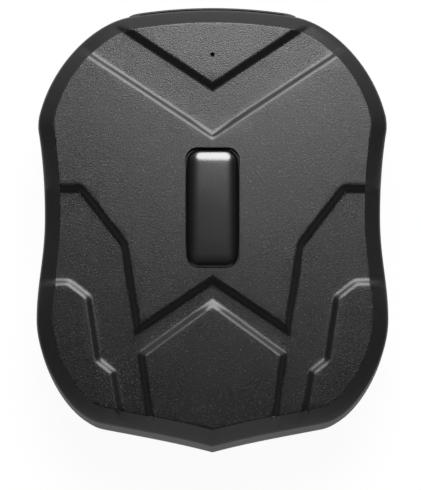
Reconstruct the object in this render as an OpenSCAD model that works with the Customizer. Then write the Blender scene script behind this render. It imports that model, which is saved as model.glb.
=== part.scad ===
// Battery tracker for vehicles: a waisted two-part housing with a magnetic base.
// X is across, Y runs to the sockets' end, Z is up from the magnetic base.

/* [Housing] */
// Overall length
body_length = 90; // [84:0.5:110]
// Overall width
body_width = 71; // [68:0.5:90]
// Height of the line where the two shells part
part_z = 9; // [8.6:0.1:9.6]
// Drop of the rim's outer edge below the crown of the panel
rim_drop = 4.4; // [3.8:0.1:4.8]
// Width of the smooth bevelled rim
rim_w = 2.9; // [2:0.1:4]
// Radius of the crowned panel
crown_r = 500; // [300:10:900]
// Radius of the wall at the sockets' end
end_r = 100; // [80:5:160]
// Wall of the upper shell
cover_wall = 2.2; // [1.9:0.1:2.6]
// Thickness of the roof over the electronics
roof_t = 2.4; // [2.2:0.1:3]
// Thickness of the base plate
floor_t = 2; // [1.5:0.1:2.4]
// Width of the lower shell's flange
flange_w = 3.6; // [3.5:0.1:4]

/* [Panel relief] */
// Depth of the channels in the panel
relief_depth = 0.9; // [0.4:0.05:1]
// Run of a channel's slope for each unit of its depth
relief_run = 1.5; // [1:0.1:2]
// Step between the rim and the panel
panel_step = 0.2; // [0.1:0.05:0.4]

/* [Badge] */
// Width of the badge's recess
badge_w = 11; // [8:0.5:14]
// Length of the badge's recess
badge_l = 24.8; // [18:0.2:30]
// Corner radius of the badge's recess
badge_r = 1.8; // [1:0.1:3]
// Depth of the badge's recess
badge_depth = 1.2; // [0.9:0.1:1.4]
// Place of the badge's middle along the body
badge_y = 4; // [0:0.5:6]

/* [Port cover] */
// Width of the soft cover over the sockets
cap_w = 34; // [33.4:0.2:38]
// How far the soft cover stands out of the end wall
cap_stand = 0.6; // [0.4:0.1:1]
// Depth of the pocket that the cover closes
pocket_d = 0.9; // [0.8:0.05:1]
// Width of the strap that the cover hangs on
strap_w = 8; // [6:0.5:10]
// Thickness of the strap
strap_t = 0.7; // [0.5:0.05:0.9]

/* [Sockets and switch] */
// Width of the charging socket
inlet_w = 7.5; // [7:0.1:9]
// Height of the charging socket
inlet_h = 2.6; // [2.4:0.1:2.8]
// Width of the card
card_w = 8.8; // [8.4:0.1:9.4]
// Length of the card
card_l = 12.3; // [11.5:0.1:13]
// Thickness of the card
card_t = 0.67; // [0.6:0.01:0.8]
// Travel of the power switch
switch_travel = 2; // [1.5:0.1:2.2]
// Diameter of a light pipe
pipe_d = 1.1; // [0.8:0.1:1.3]
// Diameter of the microphone hole
mic_hole_d = 0.9; // [0.6:0.1:1.2]

/* [Magnets] */
// Diameter of a base magnet
magnet_d = 14; // [10:0.5:15]
// Thickness of a base magnet
magnet_t = 3; // [2:0.1:4]
// Roof over a magnet's well, which carries the battery
well_roof = 0.95; // [0.8:0.05:1.5]

/* [Battery and board] */
// Thickness of the battery
batt_t = 8.8; // [7.5:0.1:10]
// Thickness of the foam between battery and board
foam_t = 0.8; // [0.8:0.1:1.2]
// Thickness of the circuit board
pcb_t = 1; // [0.8:0.1:1.6]
// Height of the positioning antenna
patch_t = 4; // [3.4:0.1:5]
// Side of the positioning antenna
patch_w = 18; // [15:0.5:20]
// Air between the positioning antenna and the roof
patch_gap = 0.9; // [0.6:0.1:1.5]

/* [Screws] */
// Shank of a housing screw
screw_d = 2.2; // [2:0.1:2.5]
// Length of a housing screw under its head
screw_l = 9; // [7:0.5:10]
// Head diameter of a housing screw
screw_head_d = 4.2; // [3.8:0.1:4.6]
// Shank of a board screw
pin_screw_d = 1.6; // [1.4:0.1:1.8]

/* [Hidden] */

// How far a cut runs past the surface that it opens, and a rib runs into the one it stands on
over = 0.5;
// Facets of large and small rounds
fine = 240;
small = 48;

// Heights of the stack, from the base to the crown
magnet_inset = 0.15;
well_depth = magnet_t + magnet_inset;
well_top_z = well_depth + well_roof;
batt_top_z = well_top_z + batt_t;
pcb_z = batt_top_z + foam_t;
pcb_top_z = pcb_z + pcb_t;
body_h = pcb_top_z + patch_t + patch_gap + roof_t;
rim_z = body_h - rim_drop;

// Gap between the port cover and its pocket
cap_gap = 0.2;

// Outline of the body: an arc over the sockets' end, then curves down one side, mirrored.
// The shares are of half the width and half the length; each curve has two handles and an end.
arc_half = cap_w / 2 + 2 * cap_gap;
arc_steps = 6;
end_y = body_length / 2 - cap_stand;
end_cy = end_y - end_r;
arc_turn = asin(arc_half / end_r);
half_size = [body_width / 2, body_length / 2];
shoulder_shares = [[0.68, 0.918], [0.918, 0.742], [0.989, 0.498]];
corner_shares = [[0.997, 0.453], [0.992, 0.436], [0.986, 0.409]];
waist_shares = [[0.966, 0.3], [0.954, 0.178], [0.954, 0.04]];
bulge_shares = [[0.954, -0.144], [1, -0.256], [1, -0.422]];
foot_shares = [[1, -0.6], [0.831, -0.858], [0.637, -0.893]];
tip_shares = [[0.451, -0.922], [0.225, -0.952], [0, -1]];

function bezier(a, b, c, d, t) =
    pow(1 - t, 3) * a + 3 * t * pow(1 - t, 2) * b + 3 * t * t * (1 - t) * c + pow(t, 3) * d;
function scaled(shares) = [for (s = shares) [s[0] * half_size[0], s[1] * half_size[1]]];
function run(from, shares, steps) =
    let (p = scaled(shares)) [for (i = [1:steps]) bezier(from, p[0], p[1], p[2], i / steps)];
function last(list) = list[len(list) - 1];

end_arc = [
    for (i = [0:arc_steps])
        let (a = arc_turn * i / arc_steps) [end_r * sin(a), end_cy + end_r * cos(a)]
];
shoulder = run(last(end_arc), shoulder_shares, 11);
corner = run(last(shoulder), corner_shares, 3);
waist = run(last(corner), waist_shares, 5);
bulge = run(last(waist), bulge_shares, 6);
foot = run(last(bulge), foot_shares, 11);
tip = run(last(foot), tip_shares, 6);
right_side = concat(end_arc, shoulder, corner, waist, bulge, foot, tip);
side_n = len(right_side);
outline = concat(right_side, [for (i = [side_n - 2:-1:1]) [-right_side[i][0], right_side[i][1]]]);
outline_n = len(outline);

function unit(v) = v / norm(v);
function left_of(a, b) = let (u = unit(b - a)) [-u[1], u[0]];
function mitre(a, b) = let (m = unit(a + b)) m / (m * a);
normals = [
    for (i = [0:outline_n - 1])
        let (
            a = outline[(i + outline_n - 1) % outline_n],
            b = outline[i],
            c = outline[(i + 1) % outline_n]
        )
        mitre(left_of(a, b), left_of(b, c))
];

// The outline pulled in, and lifted to a height or onto the crown
function inset(d) = [for (i = [0:outline_n - 1]) outline[i] - d * normals[i]];
function crown_z(p) = body_h - crown_r + sqrt(crown_r * crown_r - p[0] * p[0] - p[1] * p[1]);
function ring_at(d, z) = [for (p = inset(d)) [p[0], p[1], z]];
function ring_on(d, drop) = [for (p = inset(d)) [p[0], p[1], crown_z(p) - drop]];
function ceiling_z(p) = crown_z(p) - roof_t;

// Closes a loft's end with strips between its two sides
function lid(n, shift, base, flip) = [
    for (i = [0:n / 2 - 1])
        let (a = i, b = i + 1, c = (n - i - 1 - shift) % n, d = (n - i - shift) % n)
        for (t = [[a, b, c], [a, c, d]])
            if (t[0] != t[1] && t[1] != t[2] && t[0] != t[2])
                [for (v = flip ? [t[2], t[1], t[0]] : t) v + base]
];

// A skin over a stack of rings that run clockwise seen from above
module loft(rings, shift = 0) {
    n = len(rings[0]);
    m = len(rings);
    polyhedron(
        points = [for (r = rings) each r],
        faces = concat(
            lid(n, shift, 0, true),
            [
                for (j = [0:m - 2], i = [0:n - 1])
                    let (a = j * n + i, b = j * n + (i + 1) % n)
                    for (t = [[a, b, b + n], [a, b + n, a + n]]) t
            ],
            lid(n, shift, (m - 1) * n, false)
        )
    );
}

module crown_ball(drop) {
    translate([0, 0, body_h - crown_r]) sphere(r = crown_r - drop, $fn = fine);
}

module rounded(w, l, r) {
    square([w - 2 * r, l], center = true);
    square([w, l - 2 * r], center = true);
    for (x = [-1, 1], y = [-1, 1]) {
        translate([x * (w / 2 - r), y * (l / 2 - r)]) circle(r = r, $fn = small);
    }
}

module block(x, y, z) {
    translate([x[0], y[0], z[0]]) cube([x[1] - x[0], y[1] - y[0], z[1] - z[0]]);
}

// How far the walls lean in at the parting line, and the round of the rim's outer edge
cover_lean = 0.25;
shell_lean = 0.35;
edge_r = 0.45;
edge_lift = 0.35;
bulge_up = 0.12;

// Housing screws stand in from the outline
boss_d = 6;
boss_side_in = 7.3;
boss_side_y = -20;
boss_end_in = 10;
boss_end_drop = 14.5;
boss_end_y = body_length / 2 - boss_end_drop;
boss_tip_in = 6;
boss_x = body_width / 2 - boss_side_in;
boss_end_x = body_width / 2 - boss_end_in;
boss_places = [
    [boss_x, boss_side_y], [-boss_x, boss_side_y],
    [boss_end_x, boss_end_y], [-boss_end_x, boss_end_y],
    [0, boss_tip_in - body_length / 2]
];
boss_lift = 0.1;
screw_fit = 0.05;
screw_head_h = 1.6;
screw_head_drop = 4.6;
screw_head_z = part_z - screw_head_drop;
screw_tip_gap = 0.6;

// Board: its outline, and the screws that hang it from the roof
pcb_in_x = 13.5;
pcb_in_foot = 9.5;
pcb_in_end = 4.6;
pcb_corner = 5;
pcb_w = body_width - 2 * pcb_in_x;
pcb_y0 = pcb_in_foot - body_length / 2;
pcb_y1 = body_length / 2 - pcb_in_end;
standoff_d = 4.6;
standoff_in_x = 2;
standoff_end_in = 12.2;
standoff_foot_in_x = 7;
standoff_foot_in = 2.6;
standoff_x = pcb_w / 2 - standoff_in_x;
standoff_foot_x = pcb_w / 2 - standoff_foot_in_x;
standoff_end_y = pcb_y1 - standoff_end_in;
standoff_foot_y = pcb_y0 + standoff_foot_in;
standoff_places = [
    [standoff_x, standoff_end_y], [-standoff_x, standoff_end_y],
    [standoff_foot_x, standoff_foot_y], [-standoff_foot_x, standoff_foot_y]
];
function on_board(s) = [s[0] * pcb_w / 2, pcb_y0 + s[1] * (pcb_y1 - pcb_y0)];
pin_screw_l = 4;
pin_head_d = 3;
pin_head_h = 0.8;
pin_hole_gap = 0.2;

// Port cover, its pocket and its strap
cap_back_gap = 0.25;
cap_land = 0.7;
cap_lift = 0.3;
cap_round = 0.5;
cap_taper = 2.4;
cap_steps = 14;
pocket_w = cap_w + 2 * cap_gap;
pocket_top_z = rim_z - cap_land;
cap_z0 = part_z + cap_lift;
cap_z1 = pocket_top_z - cap_gap;
pocket_r = end_r - pocket_d;
cap_back_r = pocket_r + cap_back_gap;
cap_back_bevel = 0.6;
plug_block_w = 6.6;
plug_block_h = 1.5;
plug_block_d = 0.8;
strap_gap = 0.2;
anchor_w = 14;
anchor_l = 1.5;
anchor_h = 1.6;

// Things that stand behind the end wall hang under the board
inlet_x = -1.6;
inlet_l = 5.6;
inlet_z = pcb_z - inlet_h / 2;
inlet_out = 1.3;
inlet_front_y = pcb_y1 + inlet_out;
inlet_wall = 0.25;
inlet_round = 0.6;
inlet_slot_gap = 0.45;
tongue_w = 5.4;
tongue_t = 0.5;
tongue_l = 3.8;
sim_x = 9.9;
sim_w = 11.4;
sim_h = 1.4;
sim_back = 0.7;
sim_z = pcb_z - sim_h / 2;
card_gap = 0.15;
card_rest_out = 0.6;
card_push = 0.6;
card_corner = 1.6;
sim_l = card_l - card_rest_out + card_push + card_gap + sim_back;
card_slot_gap = 0.3;
switch_x = -14.2;
switch_w = 5.6;
switch_l = 2.6;
switch_h = 1.4;
switch_in = 0.2;
switch_front_y = pcb_y1 - switch_in;
switch_z = pcb_z - switch_h / 2;
switch_wall = 0.3;
knob_w = 1.3;
knob_h = 0.7;
knob_gap = 0.12;
slide_w = 2.4;
slide_l = 1.4;
knob_recess = 0.35;
knob_slot_gap = 0.3;
knob_x = switch_x - switch_travel / 2;
led_x = -8.3;
led_pitch = 1.7;
led_n = 3;
led_w = 1;
led_l = 0.8;
led_h = 0.6;
led_in = 0.4;
pipe_fit = 0.05;
pipe_recess = 0.1;
pipe_drop = 0.65;
pipe_z = pcb_z - pipe_drop;
pipe_bar_gap = 0.15;
pipe_bar_l = 0.8;
pipe_bar_h = 1;

// Microphone
mic_in = 5.7;
mic_y = pcb_y1 - mic_in;
mic_d = 4;
mic_h = 1.5;
boot_d = 5.4;
boot_gap = 0.1;
boot_hole_d = 1.3;

// Radio parts on the board: places are shares of half its width and of its length
patch_y_share = 0.544;
patch_y = on_board([0, patch_y_share])[1];
patch_round = 1;
electrode_w = 13.5;
electrode_t = 0.1;
electrode_trim = 1.8;
modem_y_share = 0.257;
modem_y = on_board([0, modem_y_share])[1];
modem_w = 18;
modem_l = 16;
modem_t = 0.8;
can_wall = 0.2;
can_round = 0.6;
can_edge = 0.8;
modem_can_h = 1.7;
gnss_y_share = 0.52;
side_w = (pcb_w - patch_w) / 2;
gnss_x = (patch_w + side_w) / 2;
gnss_y = on_board([0, gnss_y_share])[1];
gnss_w = 6.4;
gnss_l = 9;
gnss_h = 1.6;
flex_t = 0.15;
flex_gap = 0.03;
flex_w = 26;
flex_l = 9;
flex_y_share = 0.12;
flex_y = on_board([0, flex_y_share])[1];
flex_slot_w = 0.9;
flex_slot_n = 6;
flex_rail = 1.6;
contact_x = 5;
contact_in = 2.4;
contact_y = flex_y - contact_in;
contact_w = 1.6;
contact_l = 2.6;
contact_t = 0.2;

// Chips: place across the strip beside the antenna, place along the board, and side as a share
// of the largest chip's
chip_w = 6.4;
chip_h = 0.85;
chip_shares = [
    [-0.5, 0.575, 1], [-0.5, 0.44, 0.94], [0.5, 0.37, 0.78], [-0.55, 0.75, 0.62],
    [-0.12, 0.8, 0.47], [0.42, 0.27, 0.5], [-0.52, 0.3, 0.62]
];
sensor_shares = [0.15, 0.77];
sensor_w = 3.2;
sensor_h = 1;
function beside_antenna(s) = [sign(s[0]) * patch_w / 2 + s[0] * side_w, on_board(s)[1]];
passive_shares = [
    [-0.86, 0.68], [-0.78, 0.68], [-0.7, 0.68], [-0.62, 0.68], [-0.54, 0.68],
    [-0.86, 0.505], [-0.78, 0.505], [-0.7, 0.505], [-0.62, 0.505],
    [0.62, 0.63], [0.7, 0.63], [0.78, 0.63], [0.86, 0.63],
    [0.62, 0.43], [0.7, 0.43], [0.78, 0.43], [0.86, 0.43],
    [-0.2, 0.72], [-0.08, 0.72], [0.04, 0.72], [0.16, 0.72], [0.28, 0.72],
    [-0.44, 0.88], [-0.32, 0.88], [0.34, 0.88], [0.44, 0.88]
];
passive_w = 0.8;
passive_l = 1.6;
passive_h = 0.6;

// Battery
batt_gap = 1.2;
batt_in_foot = 13.5;
batt_in_end = 23;
batt_w = 2 * (boss_x - boss_d / 2 - batt_gap);
batt_y0 = batt_in_foot - body_length / 2;
batt_y1 = body_length / 2 - batt_in_end;
batt_round = 2.5;
batt_bevel = 0.8;
flap_in = 2.5;
flap_l = 4;
flap_t = 0.5;
flap_lift = 0.4;
guard_trim = 5;
guard_w = batt_w - 2 * guard_trim;
guard_l = 3;
guard_t = 1;
guard_gap = 0.6;
guard_z = well_top_z + batt_bevel + flap_lift + flap_t;
foam_w = 7;
foam_in = 4;
foam_trim = 6;
header_in_x = 6.6;
header_x = header_in_x - guard_w / 2;
header_w = 5;
header_l = 3.4;
header_h = 2.6;
header_in = 8.1;
header_y = pcb_y1 - header_in;
header_depth = 1.5;
plug_w = 4;
plug_l = 4;
plug_h = 1.6;
plug_gap = 0.1;
header_z = pcb_z - header_h / 2;
plug_back_y = header_y - header_l / 2 + header_depth - plug_l - plug_gap;
lead_d = 0.9;
lead_pitch = 1.25;
lead_n = 8;
lead_steps = 12;
lead_pull_share = 0.9;

// Magnets: the outer four are flush with the battery's sides
magnet_fit = 0.1;
magnet_in_foot = 7.5;
magnet_in_end = 2;
magnet_x = (batt_w - magnet_d) / 2;
magnet_foot_y = batt_y0 + magnet_in_foot;
magnet_end_y = batt_y1 - magnet_in_end;
magnet_places = [
    [0, (magnet_foot_y + magnet_end_y) / 2],
    for (x = [-1, 1], y = [magnet_foot_y, magnet_end_y]) [x * magnet_x, y]
];
well_wall = 1.1;

// Lower shell, with its lip and seal
base_in = 2;
base_bevel = 0.8;
base_bevel_h = 0.9;
shell_floor_in = 0.5;
lip_h = 1.6;
lip_gap = 0.15;
lip_in = cover_wall + cover_lean + lip_gap;
seal_w = 1;
seal_in = 1.2;
seal_depth = 1;
seal_gap = 0.05;
post_d = 7;
counterbore_gap = 0.4;
screw_hole_gap = 0.25;
fence_t = 1.2;
fence_l = 7;
fence_h = 4;
fence_gap = 0.4;

// Cover: inner hollow
hollow_drop = 1.6;
hollow_z = rim_z - hollow_drop;
hollow_in = 4.6;
step_in = 0.15;
edge_in = 0.2;
reach = 1.2;

// Badge
badge_fit = 0.15;
badge_crown_r = 120;
badge_sink = 0.1;

// Channel lines, as shares of half the width and half the length
far_v_shares = [[0, 0.638], [0.51, 0.898]];
near_v_shares = [[0, 0.408], [0.706, 0.778]];
plateau_shares = [[0.746, 0.18], [0.5, -0.09], [0.425, -0.48], [0.408, -0.567], [0.358, -0.858]];
side_shares = [[0.817, -0.253], [0.704, -0.324], [0.648, -0.602], [0.558, -0.658], [0.521, -0.833]];
inner_far_shares = [[-0.515, -0.533], [0, -0.238], [0.515, -0.533]];
inner_near_shares = [[-0.479, -0.605], [0, -0.342], [0.479, -0.605]];

panel_ring = inset(rim_w);
slope_dig = 1.1;
inner_dig = 0.65;
slope_lift = 1.6;

function way_out(p, u, ring) = max([
    for (i = [0:len(ring) - 1])
        let (a = ring[i], e = ring[(i + 1) % len(ring)] - a, det = cross(u, e))
        if (abs(det) > 0)
            let (t = cross(a - p, e) / det, s = cross(a - p, u) / det)
            if (t > 0 && s >= 0 && s <= 1) t
]);
function slope_point(p) = [p[0], p[1], crown_z(p) - relief_depth / 2];

// The last two points of a channel's side: at the panel's edge, and past the rim's outer edge
function run_out(p, u) =
    let (
        t1 = way_out(p, u, panel_ring),
        t2 = way_out(p, u, outline),
        a = p + t1 * u,
        za = crown_z(a) - panel_step - relief_depth / 2,
        k = 1 + reach / (t2 - t1),
        b = a + k * (t2 - t1) * u
    )
    [[a[0], a[1], za], [b[0], b[1], za + k * (rim_z - za)]];
function reversed(list) = [for (i = [len(list) - 1:-1:0]) list[i]];
function mirrored(list) = [for (p = list) [-p[0], p[1], p[2]]];
function flat(p) = [p[0], p[1]];

// One side of a channel's walls: moved out and up, or in and down, along its slope
function path_normal(path, i) =
    let (n = len(path) - 1, a = max(i - 1, 0), b = min(i + 1, n))
    mitre(left_of(flat(path[a]), flat(path[a + 1])), left_of(flat(path[b - 1]), flat(path[b])));
function wall_line(path, side, rise) = [
    for (i = [0:len(path) - 1])
        let (q = flat(path[i]) + side * rise * relief_run * path_normal(path, i))
        [q[0], q[1], path[i][2] + rise]
];

module channel(left, right, dig = slope_dig) {
    n = len(left);
    points = concat(
        wall_line(left, 1, -dig), wall_line(left, 1, slope_lift),
        wall_line(right, -1, slope_lift), wall_line(right, -1, -dig)
    );
    sides = [
        for (i = [0:n - 2], side = [0:3])
            let (a = side * n + i, b = ((side + 1) % 4) * n + i)
            for (t = [[a, a + 1, b + 1], [a, b + 1, b]]) t
    ];
    end = n - 1;
    ends = [
        [0, n, 2 * n], [0, 2 * n, 3 * n],
        [end, end + 3 * n, end + 2 * n], [end, end + 2 * n, end + n]
    ];
    polyhedron(points = points, faces = concat(sides, ends));
}

module side_channel() {
    far = scaled(plateau_shares);
    near = scaled(side_shares);
    n = len(far) - 1;
    m = len(near) - 1;
    side_way = [1, 0];
    far_foot = unit(far[n] - far[n - 1]);
    near_foot = unit(near[m] - near[m - 1]);
    far_path = concat(
        reversed(run_out(far[0], side_way)),
        [for (i = [0:n - 1]) slope_point(far[i])],
        run_out(far[n - 1], far_foot)
    );
    near_path = concat(
        reversed(run_out(near[0], side_way)),
        [for (i = [0:m - 1]) slope_point(near[i])],
        run_out(near[m - 1], near_foot)
    );
    channel(near_path, far_path);
    channel(mirrored(far_path), mirrored(near_path));
}

module v_channel() {
    far = scaled(far_v_shares);
    near = scaled(near_v_shares);
    far_arm = run_out(far[0], unit(far[1] - far[0]));
    near_arm = run_out(near[0], unit(near[1] - near[0]));
    channel(
        concat(reversed(mirrored(far_arm)), [slope_point(far[0])], far_arm),
        concat(reversed(mirrored(near_arm)), [slope_point(near[0])], near_arm)
    );
}

module inner_channel() {
    channel(
        [for (p = scaled(inner_far_shares)) slope_point(p)],
        [for (p = scaled(inner_near_shares)) slope_point(p)],
        inner_dig
    );
}

// The surface that the channels cut down to
module channel_floor() {
    panel = ring_on(rim_w, panel_step + relief_depth);
    edge = ring_at(edge_in, rim_z);
    k = (edge_in + reach) / (rim_w - edge_in);
    outside = [for (i = [0:outline_n - 1]) edge[i] + k * (edge[i] - panel[i])];
    intersection() {
        loft([
            [for (p = outside) [p[0], p[1], part_z]],
            outside,
            panel,
            ring_at(rim_w + step_in, body_h + over)
        ]);
        crown_ball(relief_depth);
    }
}

module cover_form() {
    round_ring = ring_at(edge_r, rim_z + edge_lift);
    panel = ring_on(rim_w, panel_step);
    bevel = [for (i = [0:outline_n - 1]) (round_ring[i] + panel[i]) / 2 + [0, 0, bulge_up]];
    difference() {
        intersection() {
            loft([
                ring_at(cover_lean, part_z),
                ring_at(0, rim_z - edge_lift),
                ring_at(edge_r * (1 - sin(45)), rim_z),
                round_ring,
                bevel,
                panel,
                ring_at(rim_w + step_in, body_h + over)
            ]);
            crown_ball(0);
        }
        difference() {
            union() {
                v_channel();
                side_channel();
                inner_channel();
            }
            channel_floor();
        }
    }
}

module cover_hollow() {
    intersection() {
        loft([
            ring_at(cover_wall + cover_lean, part_z - over),
            ring_at(cover_wall, hollow_z),
            ring_on(hollow_in, roof_t),
            ring_at(hollow_in + step_in, body_h + over)
        ]);
        crown_ball(roof_t);
    }
}

// Part of a ring about the middle of the end wall's arc
module end_band(r0, r1, w, z0, z1) {
    intersection() {
        translate([0, end_cy, z0]) {
            difference() {
                cylinder(r = r1, h = z1 - z0, $fn = fine);
                translate([0, 0, -over]) cylinder(r = r0, h = z1 - z0 + 2 * over, $fn = fine);
            }
        }
        block([-w / 2, w / 2], [end_cy, end_y + 2 * over], [z0 - over, z1 + over]);
    }
}

// Carries a flat shape from inside the end wall out through it
module through_wall(x, z) {
    translate([x, end_y + over, z]) {
        rotate([90, 0, 0]) linear_extrude(end_y + over - (pcb_y1 - over)) children();
    }
}

module top_cover() {
    color([0.17, 0.17, 0.18])
    difference() {
        cover_form();
        difference() {
            cover_hollow();
            for (p = boss_places) {
                translate([p[0], p[1], part_z + boss_lift]) {
                    cylinder(d = boss_d, h = ceiling_z(p) - part_z + over, $fn = small);
                }
            }
            for (p = standoff_places) {
                translate([p[0], p[1], pcb_top_z]) {
                    cylinder(d = standoff_d, h = ceiling_z(p) - pcb_top_z + over, $fn = small);
                }
            }
        }
        for (p = boss_places) {
            translate([p[0], p[1], part_z]) {
                cylinder(
                    d = screw_d + 2 * screw_fit,
                    h = screw_l - screw_head_drop + screw_tip_gap,
                    $fn = small
                );
            }
        }
        for (p = standoff_places) {
            translate([p[0], p[1], pcb_z]) {
                cylinder(d = pin_screw_d + 2 * screw_fit, h = pin_screw_l + screw_fit, $fn = small);
            }
        }
        translate([0, badge_y, body_h - badge_depth]) {
            linear_extrude(badge_depth + over) rounded(badge_w, badge_l, badge_r);
        }
        translate([0, mic_y, ceiling_z([0, mic_y]) - over]) {
            cylinder(d = mic_hole_d, h = roof_t + 2 * over, $fn = small);
        }
        end_band(pocket_r, end_r + 2 * over, pocket_w, part_z - over, pocket_top_z);
        through_wall(inlet_x, inlet_z) {
            rounded(
                inlet_w + 2 * inlet_slot_gap,
                inlet_h + 2 * inlet_slot_gap,
                inlet_round + inlet_slot_gap
            );
        }
        through_wall(sim_x, sim_z) {
            square([card_w + 2 * card_slot_gap, card_t + 2 * card_slot_gap], center = true);
        }
        through_wall(switch_x, switch_z) {
            square([knob_w + switch_travel + 2 * knob_slot_gap, knob_h + 2 * knob_slot_gap], center = true);
        }
        for (i = [0:led_n - 1]) {
            through_wall(led_x + (i - (led_n - 1) / 2) * led_pitch, pipe_z) {
                circle(d = pipe_d + 2 * pipe_fit, $fn = small);
            }
        }
        block(
            [-strap_w / 2 - strap_gap, strap_w / 2 + strap_gap],
            [end_y - cover_wall - over, end_y],
            [part_z - over, part_z + strap_t + strap_gap]
        );
    }
}

module shell_form() {
    loft([
        ring_at(base_in, 0),
        ring_at(base_in - base_bevel, base_bevel_h),
        ring_at(shell_lean, part_z)
    ]);
}

module bottom_shell() {
    color([0.15, 0.15, 0.16])
    difference() {
        union() {
            difference() {
                shell_form();
                difference() {
                    loft([
                        ring_at(flange_w + shell_floor_in, floor_t),
                        ring_at(flange_w, part_z + over)
                    ]);
                    for (p = boss_places) {
                        translate([p[0], p[1], 0]) cylinder(d = post_d, h = part_z, $fn = small);
                    }
                    for (p = magnet_places) {
                        translate([p[0], p[1], 0]) {
                            cylinder(d = magnet_d + 2 * well_wall, h = well_top_z, $fn = small);
                        }
                    }
                    battery_fences();
                }
            }
            lip();
        }
        for (p = magnet_places) {
            translate([p[0], p[1], -over]) {
                cylinder(d = magnet_d + 2 * magnet_fit, h = well_depth + over, $fn = small);
            }
        }
        for (p = boss_places) {
            translate([p[0], p[1], -over]) {
                cylinder(d = screw_head_d + 2 * counterbore_gap, h = screw_head_z + over, $fn = small);
                cylinder(d = screw_d + 2 * screw_hole_gap, h = part_z + 2 * over, $fn = small);
            }
        }
        ring_wall(seal_in, seal_in + seal_w, part_z - seal_depth, part_z + over);
    }
}

// A wall that follows the outline between two depths from it
module ring_wall(in0, in1, z0, z1) {
    translate([0, 0, z0]) {
        linear_extrude(z1 - z0) {
            difference() {
                polygon(inset(in0));
                polygon(inset(in1));
            }
        }
    }
}

module lip() {
    difference() {
        ring_wall(lip_in, flange_w, part_z - over, part_z + lip_h);
        for (p = boss_places) {
            translate([p[0], p[1], part_z]) {
                cylinder(d = boss_d + 2 * fence_gap, h = lip_h + over, $fn = small);
            }
        }
        block(
            [-strap_w / 2 - strap_gap, strap_w / 2 + strap_gap],
            [pcb_y1 - over, end_y],
            [part_z, part_z + lip_h + over]
        );
    }
}

module battery_fences() {
    x0 = batt_w / 2 + fence_gap;
    for (x = [-1, 1], y = [batt_y0, batt_y1 - fence_l]) {
        block(
            [min(x * x0, x * (x0 + fence_t)), max(x * x0, x * (x0 + fence_t))],
            [y, y + fence_l],
            [floor_t - over, floor_t + fence_h]
        );
    }
}

module perimeter_seal() {
    color([0.08, 0.08, 0.08])
    ring_wall(seal_in + seal_gap, seal_in + seal_w - seal_gap, part_z - seal_depth, part_z);
}

module badge_insert() {
    color([0.02, 0.02, 0.02])
    translate([0, badge_y, 0]) {
        intersection() {
            translate([0, 0, body_h - badge_depth]) {
                linear_extrude(badge_depth) {
                    rounded(badge_w - 2 * badge_fit, badge_l - 2 * badge_fit, badge_r - badge_fit);
                }
            }
            translate([0, 0, body_h - badge_sink - badge_crown_r]) sphere(r = badge_crown_r, $fn = fine);
        }
    }
}

module housing_screws() {
    color("silver")
    for (p = boss_places) {
        translate([p[0], p[1], screw_head_z - screw_head_h]) {
            cylinder(d = screw_head_d, h = screw_head_h, $fn = small);
            cylinder(d = screw_d, h = screw_head_h + screw_l, $fn = small);
        }
    }
}

module magnets() {
    color([0.75, 0.75, 0.77])
    for (p = magnet_places) {
        translate([p[0], p[1], magnet_inset]) cylinder(d = magnet_d, h = magnet_t, $fn = small);
    }
}

// Plan of the port cover, thinning towards its ends, with its outer face pulled in by d
function cap_stand_at(x) =
    let (e = max(0, abs(x) - (cap_w / 2 - cap_taper)) / cap_taper) cap_stand * sqrt(max(0, 1 - e * e));
function cap_ring(d, z) =
    let (
        turn = asin(cap_w / 2 / end_r),
        face = [
            for (i = [0:cap_steps])
                let (
                    a = turn * sin(90 * (2 * i / cap_steps - 1)),
                    r = end_r + cap_stand_at(end_r * sin(a)) - d
                )
                [r * sin(a), end_cy + r * cos(a), z]
        ],
        back = [for (p = face) let (x = p[0]) [x, end_cy + sqrt(cap_back_r * cap_back_r - x * x), z]]
    )
    concat(face, reversed(back));

module port_cover() {
    color([0.13, 0.13, 0.13])
    union() {
        difference() {
            loft([
                cap_ring(cap_round, cap_z0),
                cap_ring(cap_round * (1 - sin(45)), cap_z0 + cap_round * (1 - sin(45))),
                cap_ring(0, cap_z0 + cap_round),
                cap_ring(0, cap_z1 - cap_round),
                cap_ring(cap_round * (1 - sin(45)), cap_z1 - cap_round * (1 - sin(45))),
                cap_ring(cap_round, cap_z1)
            ], 1);
            translate([-cap_w, end_y - pocket_d + cap_back_gap, cap_z1 - cap_back_bevel]) {
                rotate([45, 0, 0]) translate([0, -cap_w, 0]) cube([2 * cap_w, cap_w, cap_w]);
            }
        }
        block(
            [inlet_x - plug_block_w / 2, inlet_x + plug_block_w / 2],
            [end_y - pocket_d - plug_block_d, end_y],
            [inlet_z - plug_block_h / 2, inlet_z + plug_block_h / 2]
        );
    }
}

module cover_tether() {
    bar_y = end_cy + sqrt(pow(end_r - flange_w, 2) - pow(anchor_w / 2, 2)) - strap_gap;
    color([0.13, 0.13, 0.13])
    union() {
        block(
            [-strap_w / 2, strap_w / 2],
            [bar_y - anchor_l, end_y - pocket_d - strap_gap / 2],
            [part_z, part_z + strap_t]
        );
        block([-anchor_w / 2, anchor_w / 2], [bar_y - anchor_l, bar_y], [part_z, part_z + anchor_h]);
    }
}

module main_board() {
    x = pcb_w / 2;
    color([0.05, 0.22, 0.14])
    difference() {
        translate([0, 0, pcb_z]) {
            linear_extrude(pcb_t) {
                polygon([
                    [pcb_corner - x, pcb_y1], [x - pcb_corner, pcb_y1], [x, pcb_y1 - pcb_corner],
                    [x, pcb_y0], [-x, pcb_y0], [-x, pcb_y1 - pcb_corner]
                ]);
            }
        }
        for (p = standoff_places) {
            translate([p[0], p[1], pcb_z - over]) {
                cylinder(d = pin_screw_d + 2 * pin_hole_gap, h = pcb_t + 2 * over, $fn = small);
            }
        }
    }
}

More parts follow.
